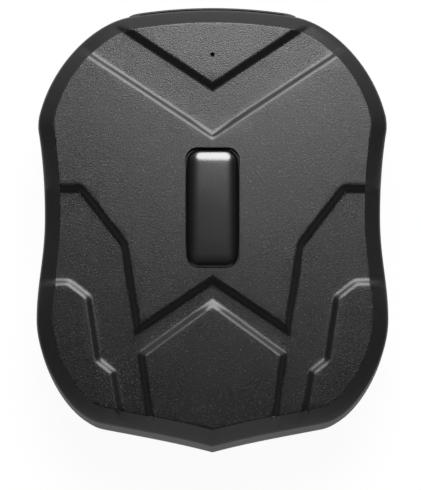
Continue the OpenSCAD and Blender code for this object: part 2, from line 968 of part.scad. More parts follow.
module board_screws() {
    color("silver")
    for (p = standoff_places) {
        translate([p[0], p[1], pcb_z - pin_head_h]) {
            cylinder(d = pin_head_d, h = pin_head_h, $fn = small);
            cylinder(d = pin_screw_d, h = pin_head_h + pin_screw_l, $fn = small);
        }
    }
}

// Lays a flat shape's height along -Y from a front face
module laid(x, y, z, l) {
    translate([x, y, z]) rotate([90, 0, 0]) linear_extrude(l) children();
}

module inlet_shell() {
    color("silver")
    difference() {
        laid(inlet_x, inlet_front_y, inlet_z, inlet_l) rounded(inlet_w, inlet_h, inlet_round);
        laid(inlet_x, inlet_front_y + over, inlet_z, inlet_l - inlet_wall + over) {
            rounded(inlet_w - 2 * inlet_wall, inlet_h - 2 * inlet_wall, inlet_round - inlet_wall);
        }
    }
}

module inlet_tongue() {
    color([0.1, 0.1, 0.1])
    block(
        [inlet_x - tongue_w / 2, inlet_x + tongue_w / 2],
        [inlet_front_y - inlet_l + inlet_wall, inlet_front_y - inlet_l + inlet_wall + tongue_l],
        [inlet_z - tongue_t / 2, inlet_z + tongue_t / 2]
    );
}

module sim_socket() {
    color([0.72, 0.72, 0.74])
    difference() {
        block([sim_x - sim_w / 2, sim_x + sim_w / 2], [pcb_y1 - sim_l, pcb_y1], [pcb_z - sim_h, pcb_z]);
        block(
            [sim_x - card_w / 2 - card_gap, sim_x + card_w / 2 + card_gap],
            [pcb_y1 - sim_l + sim_back, pcb_y1 + over],
            [sim_z - card_t / 2 - card_gap, sim_z + card_t / 2 + card_gap]
        );
    }
}

module sim_card() {
    x = card_w / 2;
    color([0.9, 0.9, 0.88])
    translate([sim_x, pcb_y1 + card_rest_out, sim_z - card_t / 2]) {
        linear_extrude(card_t) {
            polygon([
                [-x, 0], [x, 0], [x, card_corner - card_l],
                [x - card_corner, -card_l], [-x, -card_l]
            ]);
        }
    }
}

module switch_housing() {
    y0 = switch_front_y - switch_l;
    color([0.6, 0.6, 0.62])
    difference() {
        block(
            [switch_x - switch_w / 2, switch_x + switch_w / 2],
            [y0, switch_front_y],
            [pcb_z - switch_h, pcb_z]
        );
        block(
            [switch_x - switch_w / 2 + switch_wall, switch_x + switch_w / 2 - switch_wall],
            [switch_front_y - switch_wall - slide_l - 2 * knob_gap, switch_front_y - switch_wall],
            [switch_z - knob_h / 2 - knob_gap, switch_z + knob_h / 2 + knob_gap]
        );
        block(
            [knob_x - knob_w / 2 - knob_gap, knob_x + knob_w / 2 + switch_travel + knob_gap],
            [switch_front_y - switch_wall - over, switch_front_y + over],
            [switch_z - knob_h / 2 - knob_gap, switch_z + knob_h / 2 + knob_gap]
        );
    }
}

module switch_slider() {
    tip_x = abs(knob_x) + knob_w / 2;
    tip_y = end_cy + sqrt(pocket_r * pocket_r - tip_x * tip_x) - knob_recess;
    back_y = switch_front_y - switch_wall - knob_gap;
    height = [switch_z - knob_h / 2, switch_z + knob_h / 2];
    color([0.1, 0.1, 0.1])
    union() {
        block([knob_x - knob_w / 2, knob_x + knob_w / 2], [back_y - over, tip_y], height);
        block([knob_x - slide_w / 2, knob_x + slide_w / 2], [back_y - slide_l, back_y], height);
    }
}

module status_leds() {
    color([0.95, 0.9, 0.6])
    for (i = [0:led_n - 1]) {
        x = led_x + (i - (led_n - 1) / 2) * led_pitch;
        block(
            [x - led_w / 2, x + led_w / 2],
            [pcb_y1 - led_in - led_l, pcb_y1 - led_in],
            [pcb_z - led_h, pcb_z]
        );
    }
}

module led_light_pipes() {
    bar_y = pcb_y1 + pipe_bar_gap;
    half_row = (led_n - 1) / 2 * led_pitch + pipe_d / 2;
    color([0.85, 0.88, 0.9])
    union() {
        block(
            [led_x - half_row, led_x + half_row],
            [bar_y, bar_y + pipe_bar_l],
            [pipe_z - pipe_bar_h / 2, pipe_z + pipe_bar_h / 2]
        );
        for (i = [0:led_n - 1]) {
            x = led_x + (i - (led_n - 1) / 2) * led_pitch;
            y1 = end_cy + sqrt(pocket_r * pocket_r - x * x) - pipe_recess;
            laid(x, y1, pipe_z, y1 - bar_y - pipe_bar_l / 2) circle(d = pipe_d, $fn = small);
        }
    }
}

module microphone_capsule() {
    color([0.8, 0.8, 0.8])
    translate([0, mic_y, pcb_top_z]) cylinder(d = mic_d, h = mic_h, $fn = small);
}

module mic_boot() {
    top_z = ceiling_z([0, mic_y + boot_d / 2]);
    color([0.1, 0.1, 0.1])
    difference() {
        translate([0, mic_y, pcb_top_z]) {
            cylinder(d = boot_d, h = top_z - pcb_top_z, $fn = small);
        }
        translate([0, mic_y, pcb_top_z - over]) {
            cylinder(d = mic_d + boot_gap, h = over + mic_h + boot_gap / 2, $fn = small);
        }
        translate([0, mic_y, pcb_top_z]) {
            cylinder(d = boot_hole_d, h = top_z - pcb_top_z + over, $fn = small);
        }
    }
}

module patch_antenna_ceramic() {
    color([0.78, 0.76, 0.68])
    translate([0, patch_y, pcb_top_z]) {
        linear_extrude(patch_t - electrode_t) rounded(patch_w, patch_w, patch_round);
    }
}

module patch_antenna_electrode() {
    e = electrode_w / 2;
    color([0.8, 0.78, 0.74])
    translate([0, patch_y, pcb_top_z + patch_t - electrode_t]) {
        linear_extrude(electrode_t) {
            polygon([
                [electrode_trim - e, e], [e, e], [e, electrode_trim - e],
                [e - electrode_trim, -e], [-e, -e], [-e, e - electrode_trim]
            ]);
        }
    }
}

module modem_module() {
    color([0.04, 0.16, 0.3])
    block(
        [-modem_w / 2, modem_w / 2],
        [modem_y - modem_l / 2, modem_y + modem_l / 2],
        [pcb_top_z, pcb_top_z + modem_t]
    );
}

// Folded sheet can, open below
module can(x, y, z, w, l, h) {
    translate([x, y, z]) {
        difference() {
            linear_extrude(h) rounded(w, l, can_round);
            translate([0, 0, -over]) {
                linear_extrude(h - can_wall + over) {
                    rounded(w - 2 * can_wall, l - 2 * can_wall, can_round - can_wall);
                }
            }
        }
    }
}

module modem_shield_can() {
    color([0.75, 0.75, 0.76])
    can(0, modem_y, pcb_top_z + modem_t, modem_w - can_edge, modem_l - can_edge, modem_can_h);
}

module gnss_shield_can() {
    color([0.75, 0.75, 0.76])
    can(gnss_x, gnss_y, pcb_top_z, gnss_w, gnss_l, gnss_h);
}

// Antenna film that follows the underside of the roof
module flex_antenna() {
    pitch = flex_w / (flex_slot_n + 1);
    color([0.75, 0.5, 0.2])
    intersection() {
        difference() {
            crown_ball(roof_t + flex_gap);
            crown_ball(roof_t + flex_gap + flex_t);
        }
        difference() {
            block(
                [-flex_w / 2, flex_w / 2],
                [flex_y - flex_l / 2, flex_y + flex_l / 2],
                [pcb_top_z, body_h]
            );
            for (i = [1:flex_slot_n]) {
                x = i * pitch - flex_w / 2;
                y = flex_y - flex_l / 2 + (i % 2) * flex_rail - (1 - i % 2) * over;
                block(
                    [x - flex_slot_w / 2, x + flex_slot_w / 2],
                    [y, y + flex_l - flex_rail + over],
                    [pcb_top_z - over, body_h + over]
                );
            }
        }
    }
}

module antenna_contacts() {
    color([0.85, 0.7, 0.35])
    for (x = [-contact_x, contact_x]) {
        corner_at = [contact_x + contact_w / 2, contact_y - contact_l / 2];
        top_z = ceiling_z(corner_at) - flex_gap - flex_t - flex_gap;
        block(
            [x - contact_w / 2, x + contact_w / 2],
            [contact_y - contact_l / 2, contact_y + contact_l / 2],
            [pcb_top_z, pcb_top_z + contact_t]
        );
        block(
            [x - contact_w / 2, x + contact_w / 2],
            [contact_y + contact_l / 2 - contact_t, contact_y + contact_l / 2],
            [pcb_top_z, top_z]
        );
        block(
            [x - contact_w / 2, x + contact_w / 2],
            [contact_y - contact_l / 2, contact_y + contact_l / 2],
            [top_z - contact_t, top_z]
        );
    }
}

module board_part(p, size) {
    block(
        [p[0] - size[0] / 2, p[0] + size[0] / 2],
        [p[1] - size[1] / 2, p[1] + size[1] / 2],
        [pcb_top_z, pcb_top_z + size[2]]
    );
}

module board_chips() {
    color([0.08, 0.08, 0.09])
    for (s = chip_shares) board_part(beside_antenna(s), [s[2] * chip_w, s[2] * chip_w, chip_h]);
}

module shock_sensor() {
    color([0.2, 0.2, 0.22])
    board_part(beside_antenna(sensor_shares), [sensor_w, sensor_w, sensor_h]);
}

module board_passives() {
    color([0.6, 0.5, 0.38])
    for (s = passive_shares) board_part(on_board(s), [passive_w, passive_l, passive_h]);
}

module battery_cell() {
    mid_y = (batt_y0 + batt_y1) / 2;
    color([0.7, 0.71, 0.73])
    union() {
        hull() {
            translate([0, mid_y, well_top_z + batt_bevel]) {
                linear_extrude(batt_t - 2 * batt_bevel) rounded(batt_w, batt_y1 - batt_y0, batt_round);
            }
            translate([0, mid_y, well_top_z]) {
                linear_extrude(batt_t) {
                    rounded(
                        batt_w - 2 * batt_bevel,
                        batt_y1 - batt_y0 - 2 * batt_bevel,
                        batt_round - batt_bevel
                    );
                }
            }
        }
        block(
            [flap_in - batt_w / 2, batt_w / 2 - flap_in],
            [batt_y1 - over, batt_y1 + flap_l],
            [well_top_z + batt_bevel + flap_lift, well_top_z + batt_bevel + flap_lift + flap_t]
        );
    }
}

module battery_protection_board() {
    y = batt_y1 + guard_gap;
    color([0.05, 0.25, 0.15])
    block([-guard_w / 2, guard_w / 2], [y, y + guard_l], [guard_z, guard_z + guard_t]);
}

// A round lead along points, as rings of a few sides
module tube(points, d) {
    n = lead_n;
    rings = [
        for (i = [0:len(points) - 1])
            let (
                a = points[max(i - 1, 0)],
                b = points[min(i + 1, len(points) - 1)],
                t = unit(b - a),
                side = [1, 0, 0],
                up = cross(side, t)
            )
            [for (k = [0:n - 1]) points[i] + d / 2 * (cos(360 * k / n) * side - sin(360 * k / n) * up)]
    ];
    m = len(rings);
    polyhedron(
        points = [for (r = rings) each r],
        faces = concat(
            [[for (k = [n - 1:-1:0]) k]],
            [
                for (j = [0:m - 2], i = [0:n - 1])
                    let (a = j * n + i, b = j * n + (i + 1) % n)
                    for (t = [[a, b, b + n], [a, b + n, a + n]]) t
            ],
            [[for (k = [0:n - 1]) (m - 1) * n + k]]
        )
    );
}

// The lead leaves its pad upwards and turns level into the back of the plug
module battery_lead(x) {
    pad = [x, batt_y1 + guard_gap + guard_l / 2, guard_z + guard_t];
    back = [x, plug_back_y, header_z];
    rise = back[2] - pad[2];
    run = back[1] - pad[1];
    tube(
        [
            for (i = [0:lead_steps])
                bezier(
                    pad,
                    pad + [0, 0, lead_pull_share * rise],
                    back - [0, lead_pull_share * run, 0],
                    back,
                    i / lead_steps
                )
        ],
        lead_d
    );
}

module battery_lead_red() {
    color([0.7, 0.08, 0.06])
    battery_lead(header_x - lead_pitch / 2);
}

module battery_lead_black() {
    color([0.05, 0.05, 0.05])
    battery_lead(header_x + lead_pitch / 2);
}

module battery_plug() {
    color([0.92, 0.91, 0.86])
    block(
        [header_x - plug_w / 2, header_x + plug_w / 2],
        [plug_back_y, plug_back_y + plug_l],
        [header_z - plug_h / 2, header_z + plug_h / 2]
    );
}

module battery_header() {
    y0 = header_y - header_l / 2;
    color([0.9, 0.89, 0.84])
    difference() {
        block(
            [header_x - header_w / 2, header_x + header_w / 2],
            [y0, y0 + header_l],
            [pcb_z - header_h, pcb_z]
        );
        block(
            [header_x - plug_w / 2 - plug_gap, header_x + plug_w / 2 + plug_gap],
            [y0 - over, y0 + header_depth],
            [header_z - plug_h / 2 - plug_gap, header_z + plug_h / 2 + plug_gap]
        );
    }
}

module battery_foam_pads() {
    color([0.25, 0.25, 0.27])
    for (y = [batt_y0 + foam_in, batt_y1 - foam_in - foam_w]) {
        block([foam_trim - batt_w / 2, batt_w / 2 - foam_trim], [y, y + foam_w], [batt_top_z, pcb_z]);
    }
}

top_cover();
bottom_shell();
perimeter_seal();
badge_insert();
housing_screws();
magnets();
port_cover();
cover_tether();
main_board();
board_screws();
inlet_shell();
inlet_tongue();
sim_socket();
sim_card();
switch_housing();
switch_slider();
status_leds();
led_light_pipes();
microphone_capsule();
mic_boot();
modem_module();
modem_shield_can();
gnss_shield_can();
patch_antenna_ceramic();
patch_antenna_electrode();
flex_antenna();
antenna_contacts();
board_chips();
board_passives();
shock_sensor();
battery_cell();
battery_protection_board();
battery_lead_red();
battery_lead_black();
battery_plug();
battery_header();
battery_foam_pads();
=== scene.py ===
import math

import bmesh
import bpy
from mathutils import Matrix, Vector
from mathutils.geometry import interpolate_bezier, intersect_point_line


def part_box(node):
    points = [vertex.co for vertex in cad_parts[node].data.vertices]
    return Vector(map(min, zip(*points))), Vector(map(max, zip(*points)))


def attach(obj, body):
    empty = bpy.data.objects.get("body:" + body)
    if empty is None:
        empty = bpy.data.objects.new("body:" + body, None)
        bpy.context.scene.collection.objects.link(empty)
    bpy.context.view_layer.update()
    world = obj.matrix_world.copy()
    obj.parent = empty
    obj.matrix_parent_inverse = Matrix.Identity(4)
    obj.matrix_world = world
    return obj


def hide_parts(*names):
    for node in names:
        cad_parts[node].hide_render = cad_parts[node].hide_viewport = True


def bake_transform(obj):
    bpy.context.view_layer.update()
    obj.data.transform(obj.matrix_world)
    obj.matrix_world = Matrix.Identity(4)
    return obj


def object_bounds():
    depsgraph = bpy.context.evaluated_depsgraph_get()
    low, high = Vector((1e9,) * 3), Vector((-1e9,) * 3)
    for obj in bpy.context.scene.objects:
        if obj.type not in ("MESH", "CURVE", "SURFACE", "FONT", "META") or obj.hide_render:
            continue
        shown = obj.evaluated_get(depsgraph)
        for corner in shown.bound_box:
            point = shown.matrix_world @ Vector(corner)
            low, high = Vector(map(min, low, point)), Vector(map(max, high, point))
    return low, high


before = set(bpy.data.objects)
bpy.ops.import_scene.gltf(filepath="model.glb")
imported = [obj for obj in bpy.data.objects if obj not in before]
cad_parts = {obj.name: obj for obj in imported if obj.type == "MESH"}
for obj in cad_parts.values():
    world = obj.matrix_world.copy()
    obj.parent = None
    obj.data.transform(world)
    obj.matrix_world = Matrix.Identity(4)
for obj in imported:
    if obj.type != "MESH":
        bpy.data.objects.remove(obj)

cad_low, cad_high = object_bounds()
mm = 0.001

# Lower shell: a shallow tray moulded in black plastic, with a flange that meets the upper shell.
# Its outline is drawn once as arcs and curves, and every ring of the housing is inset from it.
# The wells of the magnets and the counterbores of the screws are cut from below.
half_w = (cad_high.x - cad_low.x) / 2
half_l = (cad_high.y - cad_low.y) / 2
end_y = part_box("top_cover")[1].y
end_radius = 100 * mm
end_centre_y = end_y - end_radius
end_arc_half = 17.4 * mm
end_arc_steps = 16
outline_step = 1.1 * mm
outline_least_steps = 4
outline_curve_shares = [
    [(0.68, 0.918), (0.918, 0.742), (0.989, 0.498)],
    [(0.997, 0.453), (0.992, 0.436), (0.986, 0.409)],
    [(0.966, 0.3), (0.954, 0.178), (0.954, 0.04)],
    [(0.954, -0.144), (1, -0.256), (1, -0.422)],
    [(1, -0.6), (0.831, -0.858), (0.637, -0.893)],
    [(0.451, -0.922), (0.225, -0.952), (0, -1)],
]
parting_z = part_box("top_cover")[0].z
side_boss_x, side_boss_y = 28.2 * mm, -20 * mm
end_boss_x, end_boss_y = 25.5 * mm, 30.5 * mm
tip_boss_y = -39 * mm
boss_places = [
    (side_boss_x, side_boss_y), (-side_boss_x, side_boss_y),
    (end_boss_x, end_boss_y), (-end_boss_x, end_boss_y), (0, tip_boss_y),
]
magnet_foot_y = -24 * mm
magnet_end_y = 20 * mm
magnet_x = 17 * mm
magnet_places = [
    (0, (magnet_foot_y + magnet_end_y) / 2),
    (magnet_x, magnet_foot_y), (-magnet_x, magnet_foot_y),
    (magnet_x, magnet_end_y), (-magnet_x, magnet_end_y),
]
wall_in = 0.35 * mm
flange_edge_in = 0.5 * mm
flange_edge_drop = 0.2 * mm
foot_rings = [
    (1.17 * mm, 1.3 * mm), (1.27 * mm, 0.75 * mm), (1.52 * mm, 0.33 * mm), (1.9 * mm, 0.08 * mm),
    (2.3 * mm, 0),
]
groove_in, groove_out = 1.2 * mm, 2.2 * mm
groove_depth = 1 * mm
lip_in, lip_out = 2.6 * mm, 3.6 * mm
lip_h = 1.6 * mm
draft = 0.02 * mm
tray_in = 4.1 * mm
tray_floor_z = 2 * mm
well_radius = 7.1 * mm
well_top_z = 3.15 * mm
well_wall_radius = 8.1 * mm
well_roof_z = 4.1 * mm
counterbore_radius = 2.5 * mm
counterbore_top_z = 4.4 * mm
mouth_z = -0.25 * mm
mouth_flare = 0.4 * mm
screw_hole_radius = 1.35 * mm
post_radius = 3.5 * mm
post_foot_z = 1 * mm
cut_past = 0.5 * mm
touch = 0.001 * mm


def placed(share):
    return Vector((share[0] * half_w, share[1] * half_l, 0))


def outline():
    """The housing's outline, clockwise from the middle of the sockets' end."""
    turn = math.asin(end_arc_half / end_radius)
    right = []
    for i in range(end_arc_steps + 1):
        a = turn * i / end_arc_steps
        x, y = end_radius * math.sin(a), end_centre_y + end_radius * math.cos(a)
        right.append(Vector((x, y, 0)))
    for shares in outline_curve_shares:
        near, far, end = [placed(s) for s in shares]
        count = max(outline_least_steps, round((end - right[-1]).length / outline_step))
        right += interpolate_bezier(right[-1], near, far, end, count + 1)[1:]
    del right[-2]  # the tip is a corner, and its insets need room beside it
    left = [Vector((-p.x, p.y, 0)) for p in reversed(right[1:-1])]
    return [Vector((p.x, p.y, 0)) for p in right] + left


def step_in(bm, face, width, z):
    """Insets a face and sets its inner edge at a height; gives the ring of faces round it."""
    ring = bmesh.ops.inset_region(
        bm, faces=[face], thickness=width, depth=0, use_boundary=True, use_even_offset=True
    )["faces"]
    for v in face.verts:
        v.co.z = z
    return ring


def outline_face(bm):
    face = bm.faces.new([bm.verts.new(p) for p in outline()])
    face.normal_update()
    return face


def stepped(bm, steps):
    """A skin that follows the outline through rings, each (inset, height)."""
    face = outline_face(bm)
    depth, z = steps[0]
    bmesh.ops.delete(bm, geom=step_in(bm, face, depth, z), context="FACES")
    for next_depth, next_z in steps[1:]:
        step_in(bm, face, next_depth - depth, next_z)
        depth = next_depth


def weld(bm):
    """Joins the seams of a skin and turns its faces outward."""
    bmesh.ops.remove_doubles(bm, verts=bm.verts, dist=touch)
    bmesh.ops.recalc_face_normals(bm, faces=bm.faces)


def bore(bm, x, y, radius, z0, z1, mouth=0, sides=48):
    """A round cutter or post between two heights, which may flare at its lower mouth."""
    made = bmesh.ops.create_cone(
        bm, cap_ends=True, segments=sides, radius1=radius, radius2=radius, depth=z1 - z0,
        matrix=Matrix.Translation((x, y, (z0 + z1) / 2)),
    )
    if mouth:
        low = [v for v in made["verts"] if v.co.z < (z0 + z1) / 2]
        bmesh.ops.scale(
            bm, verts=low, vec=(1 + mouth / radius, 1 + mouth / radius, 1),
            space=Matrix.Translation((-x, -y, 0)),
        )


def make_piece(name, bm, *materials):
    """Turns a finished bmesh into an object of the scene, with its materials."""
    mesh = bpy.data.meshes.new(name)
    bm.to_mesh(mesh)
    bm.free()
    piece = bpy.data.objects.new(name, mesh)
    bpy.context.scene.collection.objects.link(piece)
    for material in materials:
        mesh.materials.append(material)
    return piece


def smooth(piece, angle):
    """Shades a piece smooth, but for edges sharper than an angle, and keeps its flats flat."""
    piece.data.polygons.foreach_set("use_smooth", [True] * len(piece.data.polygons))
    piece.data.set_sharp_from_angle(angle=math.radians(angle))
    piece.modifiers.new("flats", "WEIGHTED_NORMAL").keep_sharp = True
    return piece


def carve(piece, operation, bm):
    """Joins a shape to a piece, or cuts it away, for good."""
    bmesh.ops.recalc_face_normals(bm, faces=bm.faces)
    tool = make_piece("tool", bm)
    cut = piece.modifiers.new("cut", "BOOLEAN")
    cut.operation = operation
    cut.solver = "EXACT"
    cut.object = tool
    shape = bpy.data.meshes.new_from_object(
        piece.evaluated_get(bpy.context.evaluated_depsgraph_get())
    )
    piece.modifiers.clear()
    piece.data = shape
    bpy.data.objects.remove(tool)
    return piece


def moulded(name, tone, roughness, grain, depth, painted_glint=0.0, mottle=0.15, specular=0.5):
    """Moulded plastic: a fine grain in its relief and tone, a slow drift of its gloss, and, where
    asked, painted glints: bright specks of colour on the grain.
    """
    drift_size = 9 * mm
    material = bpy.data.materials.new(name)
    material.use_nodes = True
    nodes = material.node_tree.nodes
    links = material.node_tree.links
    shader = nodes["Principled BSDF"]
    shader.inputs["Specular IOR Level"].default_value = specular
    place = nodes.new("ShaderNodeTexCoord").outputs["Object"]
    fine = nodes.new("ShaderNodeTexNoise")
    fine.inputs["Scale"].default_value = 1 / grain
    fine.inputs["Detail"].default_value = 3
    fine.inputs["Roughness"].default_value = 0.6
    links.new(place, fine.inputs["Vector"])
    slow = nodes.new("ShaderNodeTexNoise")
    slow.inputs["Scale"].default_value = 1 / drift_size
    slow.inputs["Detail"].default_value = 2
    links.new(place, slow.inputs["Vector"])
    tones = nodes.new("ShaderNodeValToRGB")
    ramp = tones.color_ramp
    ramp.elements[0].position = 0.36
    ramp.elements[0].color = (*[c * (1 - mottle) for c in tone], 1)
    ramp.elements[1].position = 0.6
    ramp.elements[1].color = (*[c * (1 + mottle) for c in tone], 1)
    # painted glints: the brightest grain gets a much lighter colour, standing in for glints on its
    # tips
    if painted_glint:
        glint_stop = ramp.elements.new(0.68)
        glint_stop.color = (*[c * (1 + mottle) + painted_glint for c in tone], 1)
    links.new(fine.outputs["Fac"], tones.inputs["Fac"])
    links.new(tones.outputs["Color"], shader.inputs["Base Color"])
    gloss = nodes.new("ShaderNodeMapRange")
    gloss.inputs["To Min"].default_value = roughness - 0.02
    gloss.inputs["To Max"].default_value = roughness + 0.04
    links.new(slow.outputs["Fac"], gloss.inputs["Value"])
    links.new(gloss.outputs["Result"], shader.inputs["Roughness"])
    bump = nodes.new("ShaderNodeBump")
    bump.inputs["Distance"].default_value = depth
    links.new(fine.outputs["Fac"], bump.inputs["Height"])
    links.new(bump.outputs["Normal"], shader.inputs["Normal"])
    return material


base_plastic = moulded(
    "base plastic", tone=(0.012, 0.012, 0.0123), roughness=0.62, grain=0.35 * mm,
    depth=0.02 * mm, specular=0.3,
)
flange_edge = (wall_in, parting_z - flange_edge_drop)
shell = bmesh.new()
stepped(shell, [flange_edge, *foot_rings])
stepped(shell, [
    flange_edge, (flange_edge_in, parting_z),
    (groove_in, parting_z), (groove_in + draft, parting_z - groove_depth),
    (groove_out - draft, parting_z - groove_depth), (groove_out, parting_z),
    (lip_in, parting_z), (lip_in + draft, parting_z + lip_h),
    (lip_out - draft, parting_z + lip_h), (lip_out, parting_z),
    (tray_in, tray_floor_z),
])
weld(shell)
lower_shell = make_piece("lower_shell", shell, base_plastic)
posts = bmesh.new()
for x, y in boss_places:
    bore(posts, x, y, post_radius, post_foot_z, parting_z)
for x, y in magnet_places:
    bore(posts, x, y, well_wall_radius, post_foot_z, well_roof_z)
carve(lower_shell, "UNION", posts)
wells = bmesh.new()
for x, y in magnet_places:
    bore(wells, x, y, well_radius, mouth_z, well_top_z, mouth=mouth_flare)
for x, y in boss_places:
    bore(wells, x, y, counterbore_radius, mouth_z, counterbore_top_z, mouth=mouth_flare)
carve(lower_shell, "DIFFERENCE", wells)
shafts = bmesh.new()
for x, y in boss_places:
    bore(shafts, x, y, screw_hole_radius, counterbore_top_z - cut_past, parting_z + cut_past)
carve(lower_shell, "DIFFERENCE", shafts)
smooth(lower_shell, angle=30)
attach(lower_shell, "housing")
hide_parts("bottom_shell")

# Magnets: five nickel-plated discs with eased edges, glued into the wells of the base.
# They hold the tracker under a vehicle, so their faces carry fine rubbing marks.
def metal(name, tone, roughness, brushed, depth, stretch=(1, 1, 1)):
    """Bare or plated metal: a grain that may be drawn out one way, in its gloss and relief."""
    dull_share = 0.82
    material = bpy.data.materials.new(name)
    material.use_nodes = True
    nodes = material.node_tree.nodes
    links = material.node_tree.links
    shader = nodes["Principled BSDF"]
    shader.inputs["Metallic"].default_value = 1
    place = nodes.new("ShaderNodeTexCoord").outputs["Object"]
    drawn = nodes.new("ShaderNodeMapping")
    drawn.inputs["Scale"].default_value = stretch
    links.new(place, drawn.inputs["Vector"])
    grain = nodes.new("ShaderNodeTexNoise")
    grain.inputs["Scale"].default_value = 1 / brushed
    grain.inputs["Detail"].default_value = 4
    links.new(drawn.outputs["Vector"], grain.inputs["Vector"])
    tones = nodes.new("ShaderNodeValToRGB")
    tones.color_ramp.elements[0].position = 0.3
    tones.color_ramp.elements[0].color = (*[dull_share * c for c in tone], 1)
    tones.color_ramp.elements[1].position = 0.7
    tones.color_ramp.elements[1].color = (*tone, 1)
    links.new(grain.outputs["Fac"], tones.inputs["Fac"])
    links.new(tones.outputs["Color"], shader.inputs["Base Color"])
    gloss = nodes.new("ShaderNodeMapRange")
    gloss.inputs["To Min"].default_value = roughness - 0.08
    gloss.inputs["To Max"].default_value = roughness + 0.1
    links.new(grain.outputs["Fac"], gloss.inputs["Value"])
    links.new(gloss.outputs["Result"], shader.inputs["Roughness"])
    bump = nodes.new("ShaderNodeBump")
    bump.inputs["Distance"].default_value = depth
    links.new(grain.outputs["Fac"], bump.inputs["Height"])
    links.new(bump.outputs["Normal"], shader.inputs["Normal"])
    return material


def turned(bm, x, y, profile, sides=48):
    """A solid of revolution about a vertical line, from (radius, height) pairs."""
    start = [bm.verts.new((x + r, y, z)) for r, z in profile]
    edges = [bm.edges.new(pair) for pair in zip(start, start[1:])]
    bmesh.ops.spin(
        bm, geom=start + edges, cent=(x, y, 0), axis=(0, 0, 1), angle=2 * math.pi, steps=sides,
        use_merge=True,
    )


nickel = metal(
    "nickel plating", tone=(0.62, 0.6, 0.57), roughness=0.26, brushed=0.5 * mm,
    depth=0.002 * mm, stretch=(1, 0.12, 1),
)
magnet_low, magnet_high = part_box("magnets")
magnet_radius = 7 * mm
eased = 0.3 * mm
discs = bmesh.new()
for x, y in magnet_places:
    turned(discs, x, y, [
        (0, magnet_low.z), (magnet_radius - eased, magnet_low.z),
        (magnet_radius - eased / 3, magnet_low.z + eased / 3),
        (magnet_radius, magnet_low.z + eased), (magnet_radius, magnet_high.z - eased),
        (magnet_radius - eased / 3, magnet_high.z - eased / 3),
        (magnet_radius - eased, magnet_high.z), (0, magnet_high.z),
    ])
weld(discs)
magnet_discs = smooth(make_piece("magnet_discs", discs, nickel), angle=50)
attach(magnet_discs, "housing")
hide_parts("magnets")

# Screws: zinc-plated, with a domed head, a cross recess and a thread rolled for plastic.
# Five close the housing from below, and four small ones hang the board from the cover.
board_low, board_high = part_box("main_board")
standoff_places = [(20 * mm, 28.2 * mm), (15 * mm, -32.9 * mm)]
standoff_places += [(-x, y) for x, y in standoff_places]
housing_screw = {
    "head_z": counterbore_top_z, "head_r": 2.1 * mm, "head_h": 1.6 * mm,
    "shank_r": 1.1 * mm, "length": 9 * mm, "pitch": 1 * mm,
}
board_screw = {
    "head_z": board_low.z, "head_r": 1.5 * mm, "head_h": 0.8 * mm,
    "shank_r": 0.8 * mm, "length": 4 * mm, "pitch": 0.7 * mm,
}
head_shares = [(0, 1), (0.55, 1), (0.82, 0.86), (0.97, 0.55), (1, 0.2), (0.96, 0)]
root_share = 0.8
crest_share = 0.35
arm_reach_share, arm_width_share, arm_depth_share = 0.62, 0.26, 0.55
arm_end_shares = (0.5, 0.6, 1)


def add_screw(bm, x, y, head_z, head_r, head_h, shank_r, length, pitch):
    """One screw, head down: its head's underside is at head_z and its tip points up."""
    root_r = root_share * shank_r
    profile = [(r * head_r, head_z - drop * head_h) for r, drop in head_shares]
    profile.append((root_r, head_z))
    z = head_z + pitch
    while z < head_z + length - 2 * pitch:
        profile += [
            (root_r, z - crest_share * pitch), (shank_r, z), (root_r, z + crest_share * pitch)
        ]
        z += pitch
    profile += [(root_r, head_z + length - pitch), (0, head_z + length)]
    turned(bm, x, y, profile, sides=32)


def recess_arm(bm, x, y, turn, z, head_r, head_h):
    """A cutter for one arm of the cross in a screw's head, narrower at its bottom."""
    arm = bmesh.ops.create_cube(bm, size=1, matrix=(
        Matrix.Translation((x, y, z)) @ Matrix.Rotation(turn, 4, "Z") @ Matrix.Diagonal((
            2 * arm_reach_share * head_r, arm_width_share * head_r, 2 * arm_depth_share * head_h, 1
        ))
    ))["verts"]
    bottom = [v for v in arm if v.co.z > z]
    bmesh.ops.scale(bm, verts=bottom, vec=arm_end_shares, space=Matrix.Translation((-x, -y, 0)))


zinc = metal(
    "zinc plating", tone=(0.5, 0.5, 0.51), roughness=0.34, brushed=0.25 * mm, depth=0.004 * mm
)
for name, node, places, size in (
    ("housing_screw_set", "housing_screws", boss_places, housing_screw),
    ("board_screw_set", "board_screws", standoff_places, board_screw),
):
    turned_set = bmesh.new()
    for x, y in places:
        add_screw(turned_set, x, y, **size)
    weld(turned_set)
    screws = make_piece(name, turned_set, zinc)
    face_z = size["head_z"] - size["head_h"]
    for turn in (math.pi / 4, 3 * math.pi / 4):
        recess = bmesh.new()
        for x, y in places:
            recess_arm(recess, x, y, turn, face_z, size["head_r"], size["head_h"])
        carve(screws, "DIFFERENCE", recess)
    smooth(screws, angle=40)
    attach(screws, "housing")
    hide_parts(node)

